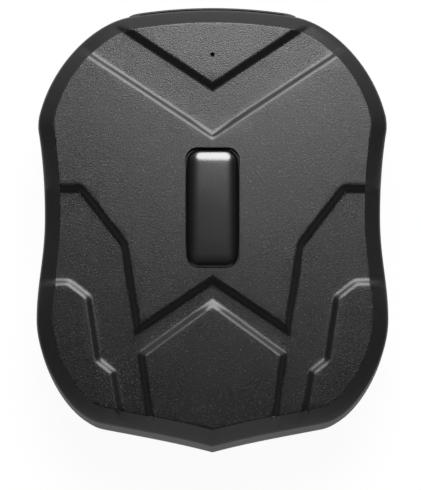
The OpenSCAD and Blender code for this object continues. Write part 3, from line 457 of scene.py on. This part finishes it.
# Board, module and battery: what hangs from the cover. Their solids have the real shapes, so each
# gets its own finish: solder mask over traces, tinned cans, fired ceramic, film, foil and nylon.
def laminate(name, mask, trace, lane):
    """Solder mask over copper traces: lanes that step across, in three tones."""
    dim_share = 0.85
    material = moulded(name, mask, roughness=0.32, grain=0.6 * mm, depth=0.003 * mm)
    nodes = material.node_tree.nodes
    links = material.node_tree.links
    shader = nodes["Principled BSDF"]
    place = nodes.new("ShaderNodeTexCoord").outputs["Object"]
    lanes = nodes.new("ShaderNodeTexBrick")
    lanes.offset = 0.37
    lanes.squash = 0.6
    lanes.squash_frequency = 3
    lanes.inputs["Scale"].default_value = 1 / lane
    lanes.inputs["Mortar Size"].default_value = 0.06
    lanes.inputs["Mortar Smooth"].default_value = 0.1
    lanes.inputs["Color1"].default_value = (*mask, 1)
    lanes.inputs["Color2"].default_value = (*[dim_share * c for c in mask], 1)
    lanes.inputs["Mortar"].default_value = (*trace, 1)
    links.new(place, lanes.inputs["Vector"])
    links.new(lanes.outputs["Color"], shader.inputs["Base Color"])
    return material


def clear(name, tone, roughness, weight):
    """Clear moulding or resin, faintly clouded."""
    material = moulded(name, tone, roughness, grain=0.8 * mm, depth=0.003 * mm)
    shader = material.node_tree.nodes["Principled BSDF"]
    shader.inputs["Transmission Weight"].default_value = weight
    return material


def finish(material, *names):
    """Gives solids of the frame their finish."""
    for name in names:
        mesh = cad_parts[name].data
        mesh.materials.clear()
        mesh.materials.append(material)


finish(
    moulded("seal rubber", tone=(0.012, 0.012, 0.012), roughness=0.62, grain=0.5 * mm,
            depth=0.01 * mm),
    "perimeter_seal", "mic_boot",
)
finish(
    laminate("green board", mask=(0.012, 0.09, 0.045), trace=(0.03, 0.16, 0.08), lane=3.1 * mm),
    "main_board", "battery_protection_board",
)
finish(
    laminate("blue module", mask=(0.01, 0.03, 0.12), trace=(0.02, 0.06, 0.2), lane=2.3 * mm),
    "modem_module",
)
finish(
    metal("socket tin", tone=(0.58, 0.57, 0.55), roughness=0.3, brushed=0.3 * mm,
          depth=0.002 * mm, stretch=(0.2, 1, 1)),
    "inlet_shell", "sim_socket", "switch_housing",
)
finish(
    moulded("black polymer", tone=(0.02, 0.02, 0.021), roughness=0.45, grain=0.2 * mm,
            depth=0.006 * mm),
    "inlet_tongue", "switch_slider", "board_chips", "shock_sensor",
)
finish(
    moulded("card white", tone=(0.78, 0.78, 0.76), roughness=0.4, grain=0.6 * mm,
            depth=0.002 * mm, mottle=0.03),
    "sim_card",
)
finish(clear("lamp resin", tone=(0.9, 0.82, 0.5), roughness=0.35, weight=0.3), "status_leds")
finish(clear("light pipe", tone=(0.9, 0.93, 0.95), roughness=0.12, weight=0.85), "led_light_pipes")
finish(
    metal("capsule metal", tone=(0.6, 0.6, 0.58), roughness=0.3, brushed=0.3 * mm,
          depth=0.003 * mm),
    "microphone_capsule",
)
finish(
    metal("can tin plate", tone=(0.55, 0.55, 0.54), roughness=0.38, brushed=0.4 * mm,
          depth=0.004 * mm, stretch=(1, 0.15, 1)),
    "modem_shield_can", "gnss_shield_can",
)
finish(
    moulded("fired ceramic", tone=(0.6, 0.56, 0.46), roughness=0.7, grain=0.25 * mm,
            depth=0.01 * mm, mottle=0.08),
    "patch_antenna_ceramic",
)
finish(
    metal("fired silver", tone=(0.75, 0.73, 0.68), roughness=0.45, brushed=0.2 * mm,
          depth=0.006 * mm),
    "patch_antenna_electrode",
)
finish(
    metal("antenna film", tone=(0.7, 0.42, 0.2), roughness=0.36, brushed=0.5 * mm,
          depth=0.002 * mm),
    "flex_antenna",
)
finish(
    metal("contact gold", tone=(0.85, 0.62, 0.26), roughness=0.24, brushed=0.2 * mm,
          depth=0.001 * mm),
    "antenna_contacts",
)
finish(
    moulded("small part ceramic", tone=(0.4, 0.3, 0.18), roughness=0.5, grain=0.2 * mm,
            depth=0.005 * mm),
    "board_passives",
)
finish(
    metal("pouch foil", tone=(0.6, 0.61, 0.63), roughness=0.42, brushed=3 * mm, depth=0.05 * mm),
    "battery_cell",
)
finish(
    moulded("red sleeve", tone=(0.45, 0.015, 0.012), roughness=0.38, grain=0.4 * mm,
            depth=0.004 * mm),
    "battery_lead_red",
)
finish(
    moulded("black sleeve", tone=(0.01, 0.01, 0.01), roughness=0.38, grain=0.4 * mm,
            depth=0.004 * mm),
    "battery_lead_black",
)
finish(
    moulded("natural nylon", tone=(0.72, 0.69, 0.6), roughness=0.42, grain=0.4 * mm,
            depth=0.006 * mm, mottle=0.04),
    "battery_plug", "battery_header",
)
finish(
    moulded("open foam", tone=(0.05, 0.05, 0.055), roughness=0.9, grain=0.3 * mm,
            depth=0.15 * mm, mottle=0.4),
    "battery_foam_pads",
)

# Upper shell: a deep moulded cover. Its panel is fine-grained and crowned, with sloped channels
# that run out over the smooth bevelled rim. The relief is cut into the panel as the tool-maker
# cuts it, line by line, and the sockets' pocket and slots are cut through the end wall.
crown_radius = 500 * mm
crown_radius_across = 280 * mm
crown_top = cad_high.z
rim_ring_widths = [0.1 * mm, 0.12 * mm, 0.23 * mm, 0.95 * mm, 1.5 * mm]
rim_w = sum(rim_ring_widths)
rim_z = 17.6 * mm
rim_corner_drop = 0.17 * mm
rim_corner_z = rim_z - rim_corner_drop
rim_round = 0.45 * mm
rim_round_drop = 0.32 * mm
rim_bulge = 0.12 * mm
panel_step = 0.15 * mm
step_run = 0.3 * mm
step_ring_shares = (0.45, 0.55)
panel_least_share = 0.2
run_out_y = 20 * mm
run_out_length = 14 * mm
run_out_leasts = (0.25, 1)
relief_depth = 0.68 * mm
slope_run = 1.12 * mm
fillet_share = 0.36
flank_least = 0.05
roof_t = 2.4 * mm
cover_lean = 0.25 * mm
cover_edge_in = 0.15 * mm
cover_edge_h = 0.2 * mm
cover_wall = 2.45 * mm
hollow_draft = 0.05 * mm
hollow_z = 16 * mm
ceiling_in = 4.6 * mm
ceiling_flat_z = 18 * mm
past_edge = 12 * mm
grid_step = 4.5 * mm
plane_reach = 0.0001 * mm
edge_line = outline()
panel_part, rim_part, wall_part, flank_part = range(4)


def crown_z(p, across=crown_radius_across):
    return crown_top - p.x ** 2 / (2 * across) - p.y ** 2 / (2 * crown_radius)


def relief_line(*shares, past=True):
    """A line of shares in place, its last stretch drawn on past the housing's edge."""
    points = [placed(s) for s in shares]
    if past:
        points[-1] += past_edge * (points[-1] - points[-2]).normalized()
    return points


far_v = relief_line((0, 0.624), (0.51, 0.897))
near_v = relief_line((0, 0.399), (0.706, 0.779))
plateau_side = relief_line(
    (1.2, 0.163), (0.746, 0.163), (0.5, -0.093), (0.425, -0.48), (0.408, -0.567), (0.358, -0.858)
)
outer_side = relief_line(
    (1.2, -0.26), (0.817, -0.26), (0.704, -0.331), (0.65, -0.614), (0.563, -0.669),
    (0.525, -0.84)
)
inner_far = relief_line((0, -0.257), (0.515, -0.529), past=False)
inner_near = relief_line((0, -0.36), (0.479, -0.635), past=False)
channels = [far_v + near_v[::-1], plateau_side + outer_side[::-1], inner_far + inner_near[::-1]]
relief_edges = [
    (line[i], line[i + 1])
    for line in (far_v, near_v, plateau_side, outer_side, inner_far, inner_near)
    for i in range(len(line) - 1)
]


def off_line(p, a, b):
    """Distance from a point to a stretch of line."""
    near, share = intersect_point_line(p, a, b)
    return (p - (a if share < 0 else b if share > 1 else near)).length


def into(p, corners):
    """How far a point lies inside a channel's outline, less than nothing outside it."""
    inside = False
    reach = half_l
    for a, b in zip(corners, corners[1:] + corners[:1]):
        if a.x or b.x:
            reach = min(reach, off_line(p, a, b))
        if (a.y > p.y) != (b.y > p.y) and p.x < a.x + (p.y - a.y) * (b.x - a.x) / (b.y - a.y):
            inside = not inside
    return reach if inside else -reach


def sunk(p):
    """How deep a point lies in the channels, from 0 on the panel to 1 on their floor."""
    p = Vector((max(abs(p.x), touch), p.y, 0))
    share = 0.5 + max(into(p, corners) for corners in channels) / slope_run
    if share <= -fillet_share or share >= 1 + fillet_share:
        return float(share > 0.5)
    if share < fillet_share:
        return (share + fillet_share) ** 2 / (4 * fillet_share)
    if share > 1 - fillet_share:
        return 1 - (1 + fillet_share - share) ** 2 / (4 * fillet_share)
    return share


def from_edge(p):
    """Distance of a point from the housing's outline, or a large one in the panel's middle."""
    return min((
        off_line(p, edge_line[i - 1], edge_line[i])
        for i in range(len(edge_line)) if (edge_line[i] - p).length < 2 * rim_w
    ), default=half_w)


def all_of(bm):
    return bm.verts[:] + bm.edges[:] + bm.faces[:]


def slice_faces(bm, faces, point, across):
    """Cuts some faces along a plane, and leaves both sides."""
    edges = list({e for f in faces for e in f.edges})
    verts = list({v for f in faces for v in f.verts})
    bmesh.ops.bisect_plane(
        bm, geom=verts + edges + faces, dist=plane_reach, plane_co=point, plane_no=across
    )


def slice_grid(bm, wanted, step):
    """Cuts the faces that are wanted into a grid, so that they can follow a crown."""
    for across, reach in ((Vector((1, 0, 0)), half_w), (Vector((0, 1, 0)), half_l)):
        at = step * math.ceil(-reach / step)
        while at < reach:
            slice_faces(bm, [f for f in bm.faces if wanted(f)], at * across, across)
            at += step


def flat_at(z):
    """Tells the faces that lie level at a height from the others."""
    return lambda f: all(abs(v.co.z - z) < touch for v in f.verts)


def rounded_block(bm, low, high, radius, axis=2, segments=6):
    """A block between two corners, its four edges along one axis rounded."""
    made = bmesh.ops.create_cube(bm, size=1, matrix=Matrix.LocRotScale(
        (Vector(low) + Vector(high)) / 2, None, Vector(high) - Vector(low)
    ))["verts"]
    edges = {e for v in made for e in v.link_edges}
    along = [e for e in edges if abs((e.verts[0].co - e.verts[1].co)[axis]) > touch]
    bmesh.ops.bevel(
        bm, geom=along, offset=radius, segments=segments, profile=0.5, affect="EDGES",
        clamp_overlap=True, material=-1,
    )


def paint(faces, part):
    for f in faces:
        f.material_index = part


def new_verts(extruded):
    return [g for g in extruded["geom"] if isinstance(g, bmesh.types.BMVert)]


# The panel's grain is partly real tone and partly painted glints: bright specks in its colour.
panel_grain = moulded(
    "panel grain", tone=(0.003, 0.003, 0.0031), roughness=0.285, grain=0.24 * mm,
    depth=0.046 * mm, painted_glint=0.06, mottle=0.6,
)
rim_satin = moulded(
    "rim satin", tone=(0.005, 0.005, 0.0051), roughness=0.3, grain=0.8 * mm, depth=0.004 * mm,
    specular=0.4,
)
wall_grain = moulded(
    "wall grain", tone=(0.012, 0.012, 0.0123), roughness=0.62, grain=0.35 * mm, depth=0.02 * mm,
    specular=0.3,
)
flank_satin = moulded(
    "flank satin", tone=(0.0045, 0.0045, 0.0047), roughness=0.3, grain=0.8 * mm, depth=0.004 * mm
)
sheet = bmesh.new()
panel = outline_face(sheet)
for width in rim_ring_widths:
    paint(step_in(sheet, panel, width, 0), rim_part)
for share in step_ring_shares:
    step_in(sheet, panel, share * step_run, 0)
bmesh.ops.bisect_plane(
    sheet, geom=all_of(sheet), dist=plane_reach, plane_co=(0, 0, 0), plane_no=(1, 0, 0),
    clear_inner=True,
)
slice_grid(sheet, lambda f: f.material_index == panel_part, grid_step)
for a, b in relief_edges:
    along = (b - a).normalized()
    across = Vector((-along.y, along.x, 0))
    for share in (-fillet_share, 0, fillet_share, 1 - fillet_share, 1, 1 + fillet_share):
        near = [
            f for f in sheet.faces
            if off_line(f.calc_center_median(), a, b) < grid_step
            or any(off_line(v.co, a, b) < slope_run for v in f.verts)
        ]
        slice_faces(sheet, near, a + (share - 0.5) * slope_run * across, across)
bmesh.ops.mirror(sheet, geom=all_of(sheet), merge_dist=touch, axis="X")
bmesh.ops.remove_doubles(sheet, verts=sheet.verts, dist=touch)
for v in sheet.verts:
    depth = from_edge(v.co)
    crown, deep = crown_z(v.co), relief_depth * sunk(v.co)
    step_share = (depth - rim_w) / step_run
    if step_share > panel_least_share:
        v.co.z = crown - deep - panel_step * max(0, 1 - step_share)
    else:
        share = min(depth / rim_w, 1)
        ends_at = min(max(abs(v.co.y) - run_out_y, 0) / run_out_length, 1)
        deep *= 1 - (1 - run_out_leasts[v.co.y > 0]) * ends_at
        rise = (crown - panel_step - rim_corner_z - deep) * share
        bulge = 4 * rim_bulge * share * (1 - share)
        drop = rim_round_drop * (1 - min(depth / rim_round, 1)) ** 2
        v.co.z = rim_corner_z + rise + bulge - drop
bmesh.ops.recalc_face_normals(sheet, faces=sheet.faces)
for lean, z in ((cover_lean, parting_z + cover_edge_h), (cover_edge_in, parting_z)):
    border = [e for e in sheet.edges if e.is_boundary]
    for v in new_verts(bmesh.ops.extrude_edge_only(sheet, edges=border)):
        v.co -= lean * Vector((v.co.x, v.co.y, 0)).normalized()
        v.co.z = z
for f in sheet.faces:
    middle = f.calc_center_median()
    if middle.z < rim_corner_z - rim_round_drop:
        f.material_index = wall_part
    elif f.material_index == panel_part and flank_least < sunk(middle) < 1 - flank_least:
        f.material_index = flank_part
hollow = bmesh.new()
stepped(hollow, [
    (cover_wall, parting_z), (cover_wall + hollow_draft, hollow_z), (ceiling_in, ceiling_flat_z)
])
slice_grid(hollow, flat_at(ceiling_flat_z), 2 * grid_step)
for v in hollow.verts:
    if abs(v.co.z - ceiling_flat_z) < touch:
        v.co.z = crown_z(v.co, crown_radius) - roof_t
paint(hollow.faces, rim_part)
hollow_mesh = bpy.data.meshes.new("hollow")
hollow.to_mesh(hollow_mesh)
hollow.free()
sheet.from_mesh(hollow_mesh)
bpy.data.meshes.remove(hollow_mesh)
borders = [e for e in sheet.edges if e.is_boundary]
paint(bmesh.ops.bridge_loops(sheet, edges=borders)["faces"], rim_part)
bmesh.ops.recalc_face_normals(sheet, faces=sheet.faces)
upper_shell = make_piece("upper_shell", sheet, panel_grain, rim_satin, wall_grain, flank_satin)

# Bosses for the housing screws, and the standoffs that the board hangs from: round posts of the
# upper shell's own plastic, moulded in one with its roof.
boss_radius = 3 * mm
boss_lift = 0.1 * mm
standoff_radius = 2.3 * mm


def in_roof(x, y):
    """A height halfway through the roof, above a place."""
    return crown_z(Vector((x, y, 0))) - roof_t / 2


bosses = bmesh.new()
for x, y in boss_places:
    bore(bosses, x, y, boss_radius, parting_z + boss_lift, in_roof(x, y))
for x, y in standoff_places:
    bore(bosses, x, y, standoff_radius, board_high.z, in_roof(x, y))
carve(upper_shell, "UNION", bosses)

# The badge's recess, the pinhole, the screws' holes and the pocket behind the soft cover. The
# recess has smooth walls and a rounded mouth, and the pocket follows the arc of the end wall.
badge_half = Vector((5.5, 12.4, 0)) * mm
badge_middle = Vector((0, 3.1, 0)) * mm
recess_corner = 2.5 * mm
recess_floor_z = crown_top - 1.2 * mm
mouth_round = 0.15 * mm
level_normal = 0.5
pinhole_y = 34.7 * mm
pinhole_radius = 0.45 * mm
pinhole_depth = 4 * mm
boss_hole_radius = 1.15 * mm
boss_hole_length = 5 * mm
standoff_hole_radius = 0.85 * mm
standoff_hole_length = 4.05 * mm
pocket_high_z = 16.9 * mm
pocket_depth = 0.9 * mm
pocket_past = 2 * mm
pocket_half = 17.2 * mm
end_centre = Vector((0, end_centre_y, 0))
cuts = bmesh.new()
rounded_block(
    cuts, badge_middle - badge_half + Vector((0, 0, recess_floor_z)),
    badge_middle + badge_half + Vector((0, 0, crown_top + cut_past)), recess_corner, segments=10,
)
bore(cuts, 0, pinhole_y, pinhole_radius, crown_top - pinhole_depth, crown_top + cut_past, sides=24)
for x, y in boss_places:
    bore(
        cuts, x, y, boss_hole_radius, parting_z - cut_past, parting_z + boss_hole_length, sides=24
    )
for x, y in standoff_places:
    bore(
        cuts, x, y, standoff_hole_radius, board_low.z, board_low.z + standoff_hole_length, sides=24
    )
carve(upper_shell, "DIFFERENCE", cuts)


def in_recess(p):
    """Whether a point lies within the recess, seen from above."""
    off = p - badge_middle
    return abs(off.x) < badge_half.x + touch and abs(off.y) < badge_half.y + touch


for f in upper_shell.data.polygons:
    deep = f.center.z < crown_z(f.center) - mouth_round
    if in_recess(f.center) and (deep or abs(f.normal.z) < level_normal):
        f.material_index = rim_part
mouth = bmesh.new()
mouth.from_mesh(upper_shell.data)
mouth_edges = [
    e for e in mouth.edges
    if len({f.material_index for f in e.link_faces}) == 2
    and all(in_recess(v.co) and v.co.z > crown_z(v.co) - mouth_round for v in e.verts)
]
bmesh.ops.bevel(
    mouth, geom=mouth_edges, offset=mouth_round, segments=2, profile=0.5, affect="EDGES",
    clamp_overlap=True, material=rim_part,
)
mouth.to_mesh(upper_shell.data)
mouth.free()


def arc_block(low_r, high_r, low_z, high_z, half):
    """A block bent along the end wall, between two radii and two heights."""
    bm = bmesh.new()
    turn = math.asin(half / end_radius)
    start = Matrix.Rotation(turn, 3, "Z")
    bm.faces.new([
        bm.verts.new(end_centre + start @ Vector((0, r, z)))
        for r, z in ((low_r, low_z), (high_r, low_z), (high_r, high_z), (low_r, high_z))
    ])
    bmesh.ops.spin(
        bm, geom=all_of(bm), cent=end_centre, axis=(0, 0, -1), angle=2 * turn, steps=24,
        use_merge=False,
    )
    return bm


carve(upper_shell, "DIFFERENCE", arc_block(
    end_radius - pocket_depth, end_radius + pocket_past, parting_z - cut_past, pocket_high_z,
    pocket_half,
))

# Slots through the end wall for the charging socket, the card, the knob, the lamps and the strap,
# left open by the mould's slides. Each is a little larger than what passes through it.
inside_y = board_high.y - cut_past
outside_y = end_y + cut_past
slot_past = 1.5 * mm
inlet_x, inlet_z = -1.6 * mm, 12.4 * mm
inlet_slot = (8.4 * mm, 3.5 * mm, 1.05 * mm)
card_x, card_z = 9.9 * mm, 12.995 * mm
card_slot = (9.4 * mm, 1.27 * mm, 0.2 * mm)
knob_x, knob_z = -14.2 * mm, 13 * mm
knob_slot = (3.9 * mm, 1.3 * mm, 0.2 * mm)
strap_slot_rise = 0.2 * mm
strap_slot = (8.4 * mm, 1.4 * mm, 0.1 * mm)
lamp_row_x = (-10 * mm, -8.3 * mm, -6.6 * mm)
lamp_row_z = 13.05 * mm
lamp_hole_radius = 0.6 * mm
slots = bmesh.new()
for x, z, (width, height, corner) in (
    (inlet_x, inlet_z, inlet_slot), (card_x, card_z, card_slot), (knob_x, knob_z, knob_slot),
    (0, parting_z + strap_slot_rise, strap_slot),
):
    rounded_block(
        slots, (x - width / 2, inside_y - slot_past, z - height / 2),
        (x + width / 2, outside_y, z + height / 2), corner, axis=1,
    )
for x in lamp_row_x:
    bmesh.ops.create_cone(
        slots, cap_ends=True, segments=24, radius1=lamp_hole_radius, radius2=lamp_hole_radius,
        depth=outside_y - inside_y,
        matrix=Matrix.Translation((x, (inside_y + outside_y) / 2, lamp_row_z))
        @ Matrix.Rotation(math.pi / 2, 4, "X"),
    )
carve(upper_shell, "DIFFERENCE", slots)
smooth(upper_shell, angle=32)
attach(upper_shell, "housing")
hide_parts("top_cover")

# Badge: a bare plate of black resin, poured so that its face stands in a dome with soft shoulders,
# and glued into the recess. Its colour is painted shade: darker along its edges, where the
# shoulders turn from the light, and lighter through its middle.
badge_low, badge_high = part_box("badge_insert")
badge_shift_y = badge_middle.y - (badge_low.y + badge_high.y) / 2
badge_low.y += badge_shift_y
badge_high.y += badge_shift_y
badge_corner = 2.4 * mm
dome_radius = 260 * mm
dome_radius_across = 75 * mm
dome_top = crown_top - 0.1 * mm
dome_grid = 0.42 * mm
edge_ring_widths = (0.05 * mm, 0.1 * mm)
shoulder_w = 2.8 * mm
shoulder_drop = 0.8 * mm
shoulder_power = 2.6
badge_gloss = moulded(
    "badge gloss", tone=(0.02, 0.02, 0.021), roughness=0.195, grain=6 * mm, depth=0.002 * mm,
    specular=1,
)
badge_nodes = badge_gloss.node_tree.nodes
badge_links = badge_gloss.node_tree.links
# painted shade: the plate's colour runs from dark at its edges to lighter in its middle, by
# distance from the edge
edge_shade_input = badge_nodes.new("ShaderNodeAttribute")
edge_shade_input.attribute_name = "from_edge"
painted_edge_shade = badge_nodes.new("ShaderNodeValToRGB")
painted_edge_shade.color_ramp.interpolation = "EASE"
painted_edge_shade.color_ramp.elements[0].position = 0.3
painted_edge_shade.color_ramp.elements[0].color = (0.004, 0.004, 0.0042, 1)
painted_edge_shade.color_ramp.elements[1].position = 0.7
painted_edge_shade.color_ramp.elements[1].color = (0.012, 0.012, 0.0124, 1)
badge_links.new(edge_shade_input.outputs["Fac"], painted_edge_shade.inputs["Fac"])
badge_links.new(
    painted_edge_shade.outputs["Color"], badge_nodes["Principled BSDF"].inputs["Base Color"]
)
plate = bmesh.new()
edge_shade_share = plate.verts.layers.float.new("from_edge")
rounded_block(
    plate, (badge_low.x, badge_low.y, badge_low.z), (badge_high.x, badge_high.y, dome_top),
    badge_corner, segments=8,
)
face = max(plate.faces, key=lambda f: f.calc_center_median().z)
for width in edge_ring_widths:
    step_in(plate, face, width, dome_top)
slice_grid(plate, flat_at(dome_top), dome_grid)
plate_half = (badge_high - badge_low) / 2
for v in plate.verts:
    if abs(v.co.z - dome_top) < touch:
        x, y = abs(v.co.x - badge_middle.x), abs(v.co.y - badge_middle.y)
        over_x, over_y = x - (plate_half.x - badge_corner), y - (plate_half.y - badge_corner)
        if over_x > 0 and over_y > 0:
            edge = badge_corner - math.hypot(over_x, over_y)
        else:
            edge = min(plate_half.x - x, plate_half.y - y)
        # the distance from the edge that the painted edge shade follows
        v[edge_shade_share] = min(max(edge, 0) / shoulder_w, 1)
        share_x = max(0, 1 - (plate_half.x - x) / shoulder_w)
        share_y = max(0, 1 - (plate_half.y - y) / shoulder_w)
        shoulder = shoulder_drop * min(1, math.hypot(share_x, share_y)) ** shoulder_power
        dome = x ** 2 / (2 * dome_radius_across) + y ** 2 / (2 * dome_radius)
        v.co.z = dome_top - dome - shoulder
bmesh.ops.recalc_face_normals(plate, faces=plate.faces)
badge_plate = smooth(make_piece("badge_plate", plate, badge_gloss), angle=50)
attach(badge_plate, "housing")
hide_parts("badge_insert")

# Port cover: a soft rubber flap moulded with the plug that closes the charging socket.
# Its face follows the end wall and stands a little proud of it, thinning towards its ends.
cap_low, cap_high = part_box("port_cover")
cap_stand = cap_high.y - end_y
cap_half = cap_high.x
cap_taper = 2.4 * mm
cap_back = 0.65 * mm
cap_steps = 40
cap_round = 0.5 * mm
end_edge_most = 5 * mm
lip_groove_h = 0.45 * mm
lip_groove_past = 0.24 * mm
plug_half_w, plug_half_h = 3.3 * mm, 0.75 * mm
plug_depth, plug_root = 1.7 * mm, 0.3 * mm
plug_corner = 0.5 * mm
cover_rubber = moulded(
    "cover rubber", tone=(0.013, 0.013, 0.0133), roughness=0.5, grain=0.45 * mm, depth=0.015 * mm
)
cap = bmesh.new()
front, back = [], []
for i in range(cap_steps + 1):
    share = math.sin(math.pi * (i / cap_steps - 0.5))
    turn = share * math.asin(cap_half / end_radius)
    x = end_radius * math.sin(turn)
    end_share = max(0, abs(x) - (cap_half - cap_taper)) / cap_taper
    stand = cap_stand * math.sqrt(max(0, 1 - end_share ** 2))
    way = Vector((math.sin(turn), math.cos(turn), 0))
    low_z = Vector((0, 0, cap_low.z))
    front.append(cap.verts.new(end_centre + low_z + (end_radius + stand) * way))
    back.append(cap.verts.new(end_centre + low_z + (end_radius - cap_back) * way))
flat_cap = cap.faces.new(front + back[::-1])
flat_cap.normal_update()
for v in new_verts(bmesh.ops.extrude_face_region(cap, geom=[flat_cap])):
    v.co.z = cap_high.z
bmesh.ops.recalc_face_normals(cap, faces=cap.faces)
rim_edges = [
    e for e in cap.edges
    if abs(e.verts[0].co.z - e.verts[1].co.z) < touch
    and all((v.co - end_centre).xy.length > end_radius - touch for v in e.verts)
    and e.calc_length() < end_edge_most
]
bmesh.ops.bevel(
    cap, geom=rim_edges, offset=cap_round, segments=5, profile=0.5, affect="EDGES",
    clamp_overlap=True, material=-1,
)
bmesh.ops.recalc_face_normals(cap, faces=cap.faces)
rubber_flap = make_piece("rubber_flap", cap, cover_rubber)
carve(rubber_flap, "DIFFERENCE", arc_block(
    end_radius - cap_back / 2, end_radius + lip_groove_past, cap_high.z - lip_groove_h,
    cap_high.z + cut_past, cap_half - cap_taper,
))
plug = bmesh.new()
rounded_block(
    plug, (inlet_x - plug_half_w, end_y - plug_depth, inlet_z - plug_half_h),
    (inlet_x + plug_half_w, end_y - plug_root, inlet_z + plug_half_h), plug_corner, axis=1,
)
smooth(carve(rubber_flap, "UNION", plug), angle=40)
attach(rubber_flap, "port_cover")
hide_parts("port_cover")

# Strap: the flap's own rubber, its anchor bar trapped between the two shells. The real strap bends
# as the flap swings out; this one stays straight, but is cut across often enough to curl.
tether_low, tether_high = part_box("cover_tether")
strap_half = 4 * mm
strap_t = 0.7 * mm
strap_lift = 0.01 * mm
strap_corner = 0.2 * mm
strap_step = 0.15 * mm
strap_end_y = end_y - 0.35 * mm
bar_l = 1.5 * mm
bar_corner = 0.35 * mm
strap = bmesh.new()
rounded_block(
    strap, (-strap_half, tether_low.y + bar_l / 2, parting_z + strap_lift),
    (strap_half, strap_end_y, parting_z + strap_t), strap_corner, axis=1, segments=3,
)
y = tether_low.y + bar_l
while y < strap_end_y:
    slice_faces(strap, strap.faces[:], Vector((0, y, 0)), Vector((0, 1, 0)))
    y += strap_step
rounded_block(
    strap, (tether_low.x, tether_low.y, parting_z + strap_lift),
    (tether_high.x, tether_low.y + bar_l, tether_high.z), bar_corner, axis=0, segments=4,
)
bmesh.ops.recalc_face_normals(strap, faces=strap.faces)
rubber_strap = smooth(make_piece("rubber_strap", strap, cover_rubber), angle=40)
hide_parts("cover_tether")
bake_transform(rubber_strap)

# Studio: a pale floor and one broad soft light over the sockets' end. Low light comes from all
# round, but less from the two sides. The floor shines by itself where it is seen or mirrored.
def combine(tree, operation, *values):
    """A sum, product or the like of sockets and numbers."""
    step = tree.nodes.new("ShaderNodeMath")
    step.operation = operation
    for slot, value in zip(step.inputs, values):
        if isinstance(value, float):
            slot.default_value = value
        else:
            tree.links.new(value, slot)
    return step.outputs["Value"]


floor_material = bpy.data.materials.new("pale floor")
floor_material.use_nodes = True
tree = floor_material.node_tree
matt = tree.nodes["Principled BSDF"]
matt.inputs["Base Color"].default_value = (0.9, 0.9, 0.9, 1)
matt.inputs["Roughness"].default_value = 0.9
glow = tree.nodes.new("ShaderNodeEmission")
paths = tree.nodes.new("ShaderNodeLightPath").outputs
seen = combine(tree, "MAXIMUM", paths["Is Camera Ray"], paths["Is Glossy Ray"])
seen = combine(tree, "MAXIMUM", seen, paths["Is Transmission Ray"])
pale = tree.nodes.new("ShaderNodeMixShader")
tree.links.new(combine(tree, "MULTIPLY", seen, 0.95), pale.inputs["Fac"])
tree.links.new(matt.outputs["BSDF"], pale.inputs[1])
tree.links.new(glow.outputs["Emission"], pale.inputs[2])
tree.links.new(pale.outputs["Shader"], tree.nodes["Material Output"].inputs["Surface"])
floor_half = 4
ground = bmesh.new()
bmesh.ops.create_grid(ground, x_segments=4, y_segments=4, size=floor_half)
floor = make_piece("floor", ground, floor_material)

world = bpy.data.worlds.new("studio")
bpy.context.scene.world = world
world.use_nodes = True
tree = world.node_tree
height = tree.nodes.new("ShaderNodeSeparateXYZ")
tree.links.new(
    tree.nodes.new("ShaderNodeTexCoord").outputs["Generated"], height.inputs["Vector"]
)
walls = tree.nodes.new("ShaderNodeMapRange")
walls.interpolation_type = "SMOOTHSTEP"
walls.inputs["From Min"].default_value = 0.4
walls.inputs["From Max"].default_value = 0.57
walls.inputs["To Min"].default_value = 1
walls.inputs["To Max"].default_value = 0
tree.links.new(height.outputs["Z"], walls.inputs["Value"])
ends = tree.nodes.new("ShaderNodeMapRange")
ends.inputs["From Min"].default_value = 0.4
ends.inputs["From Max"].default_value = 0.95
ends.inputs["To Min"].default_value = 1
ends.inputs["To Max"].default_value = 0.1
sideways = combine(tree, "MULTIPLY", height.outputs["X"], height.outputs["X"])
tree.links.new(sideways, ends.inputs["Value"])
strength = combine(tree, "MULTIPLY_ADD", walls.outputs["Result"], ends.outputs["Result"], 0.03)
tree.links.new(strength, tree.nodes["Background"].inputs["Strength"])
tree.nodes["Background"].inputs["Color"].default_value = (1, 1, 1, 1)

lamp_aim = Vector((0, 0, 20 * mm))
lamp_turn = math.radians(39)
lamp_away = 3.1
lamp_aside = 0.19
lamp = bpy.data.lights.new("soft box", "AREA")
lamp.shape = "ELLIPSE"
lamp.size = 2.25
lamp.size_y = 2.4
lamp.energy = 146
lamp_object = bpy.data.objects.new("soft box", lamp)
bpy.context.scene.collection.objects.link(lamp_object)
lamp_object.location = lamp_aim + Vector(
    (lamp_aside, lamp_away * math.sin(lamp_turn), lamp_away * math.cos(lamp_turn))
)
lamp_object.rotation_euler = (lamp_aim - lamp_object.location).to_track_quat("-Z", "Y").to_euler()

# Camera: a long lens almost straight above, tilted a little from the tip's side, with the whole
# tracker in its frame.
camera_distance = 2.5
camera_tilt = math.radians(9)
camera_reach = 10
frame_width = 85 * mm
look_at = Vector((-0.4 * mm, -3.8 * mm, rim_z))
camera_data = bpy.data.cameras.new("camera")
camera = bpy.data.objects.new("camera", camera_data)
bpy.context.scene.collection.objects.link(camera)
bpy.context.scene.camera = camera
camera_data.sensor_fit = "HORIZONTAL"
camera_data.lens = camera_data.sensor_width * camera_distance / frame_width
camera_data.clip_end = camera_reach
tilt = Matrix.Rotation(camera_tilt, 3, "X")
camera.location = look_at + tilt @ Vector((0, 0, camera_distance))
camera.rotation_euler = tilt.to_euler()

bpy.context.scene.view_settings.view_transform = "Standard"
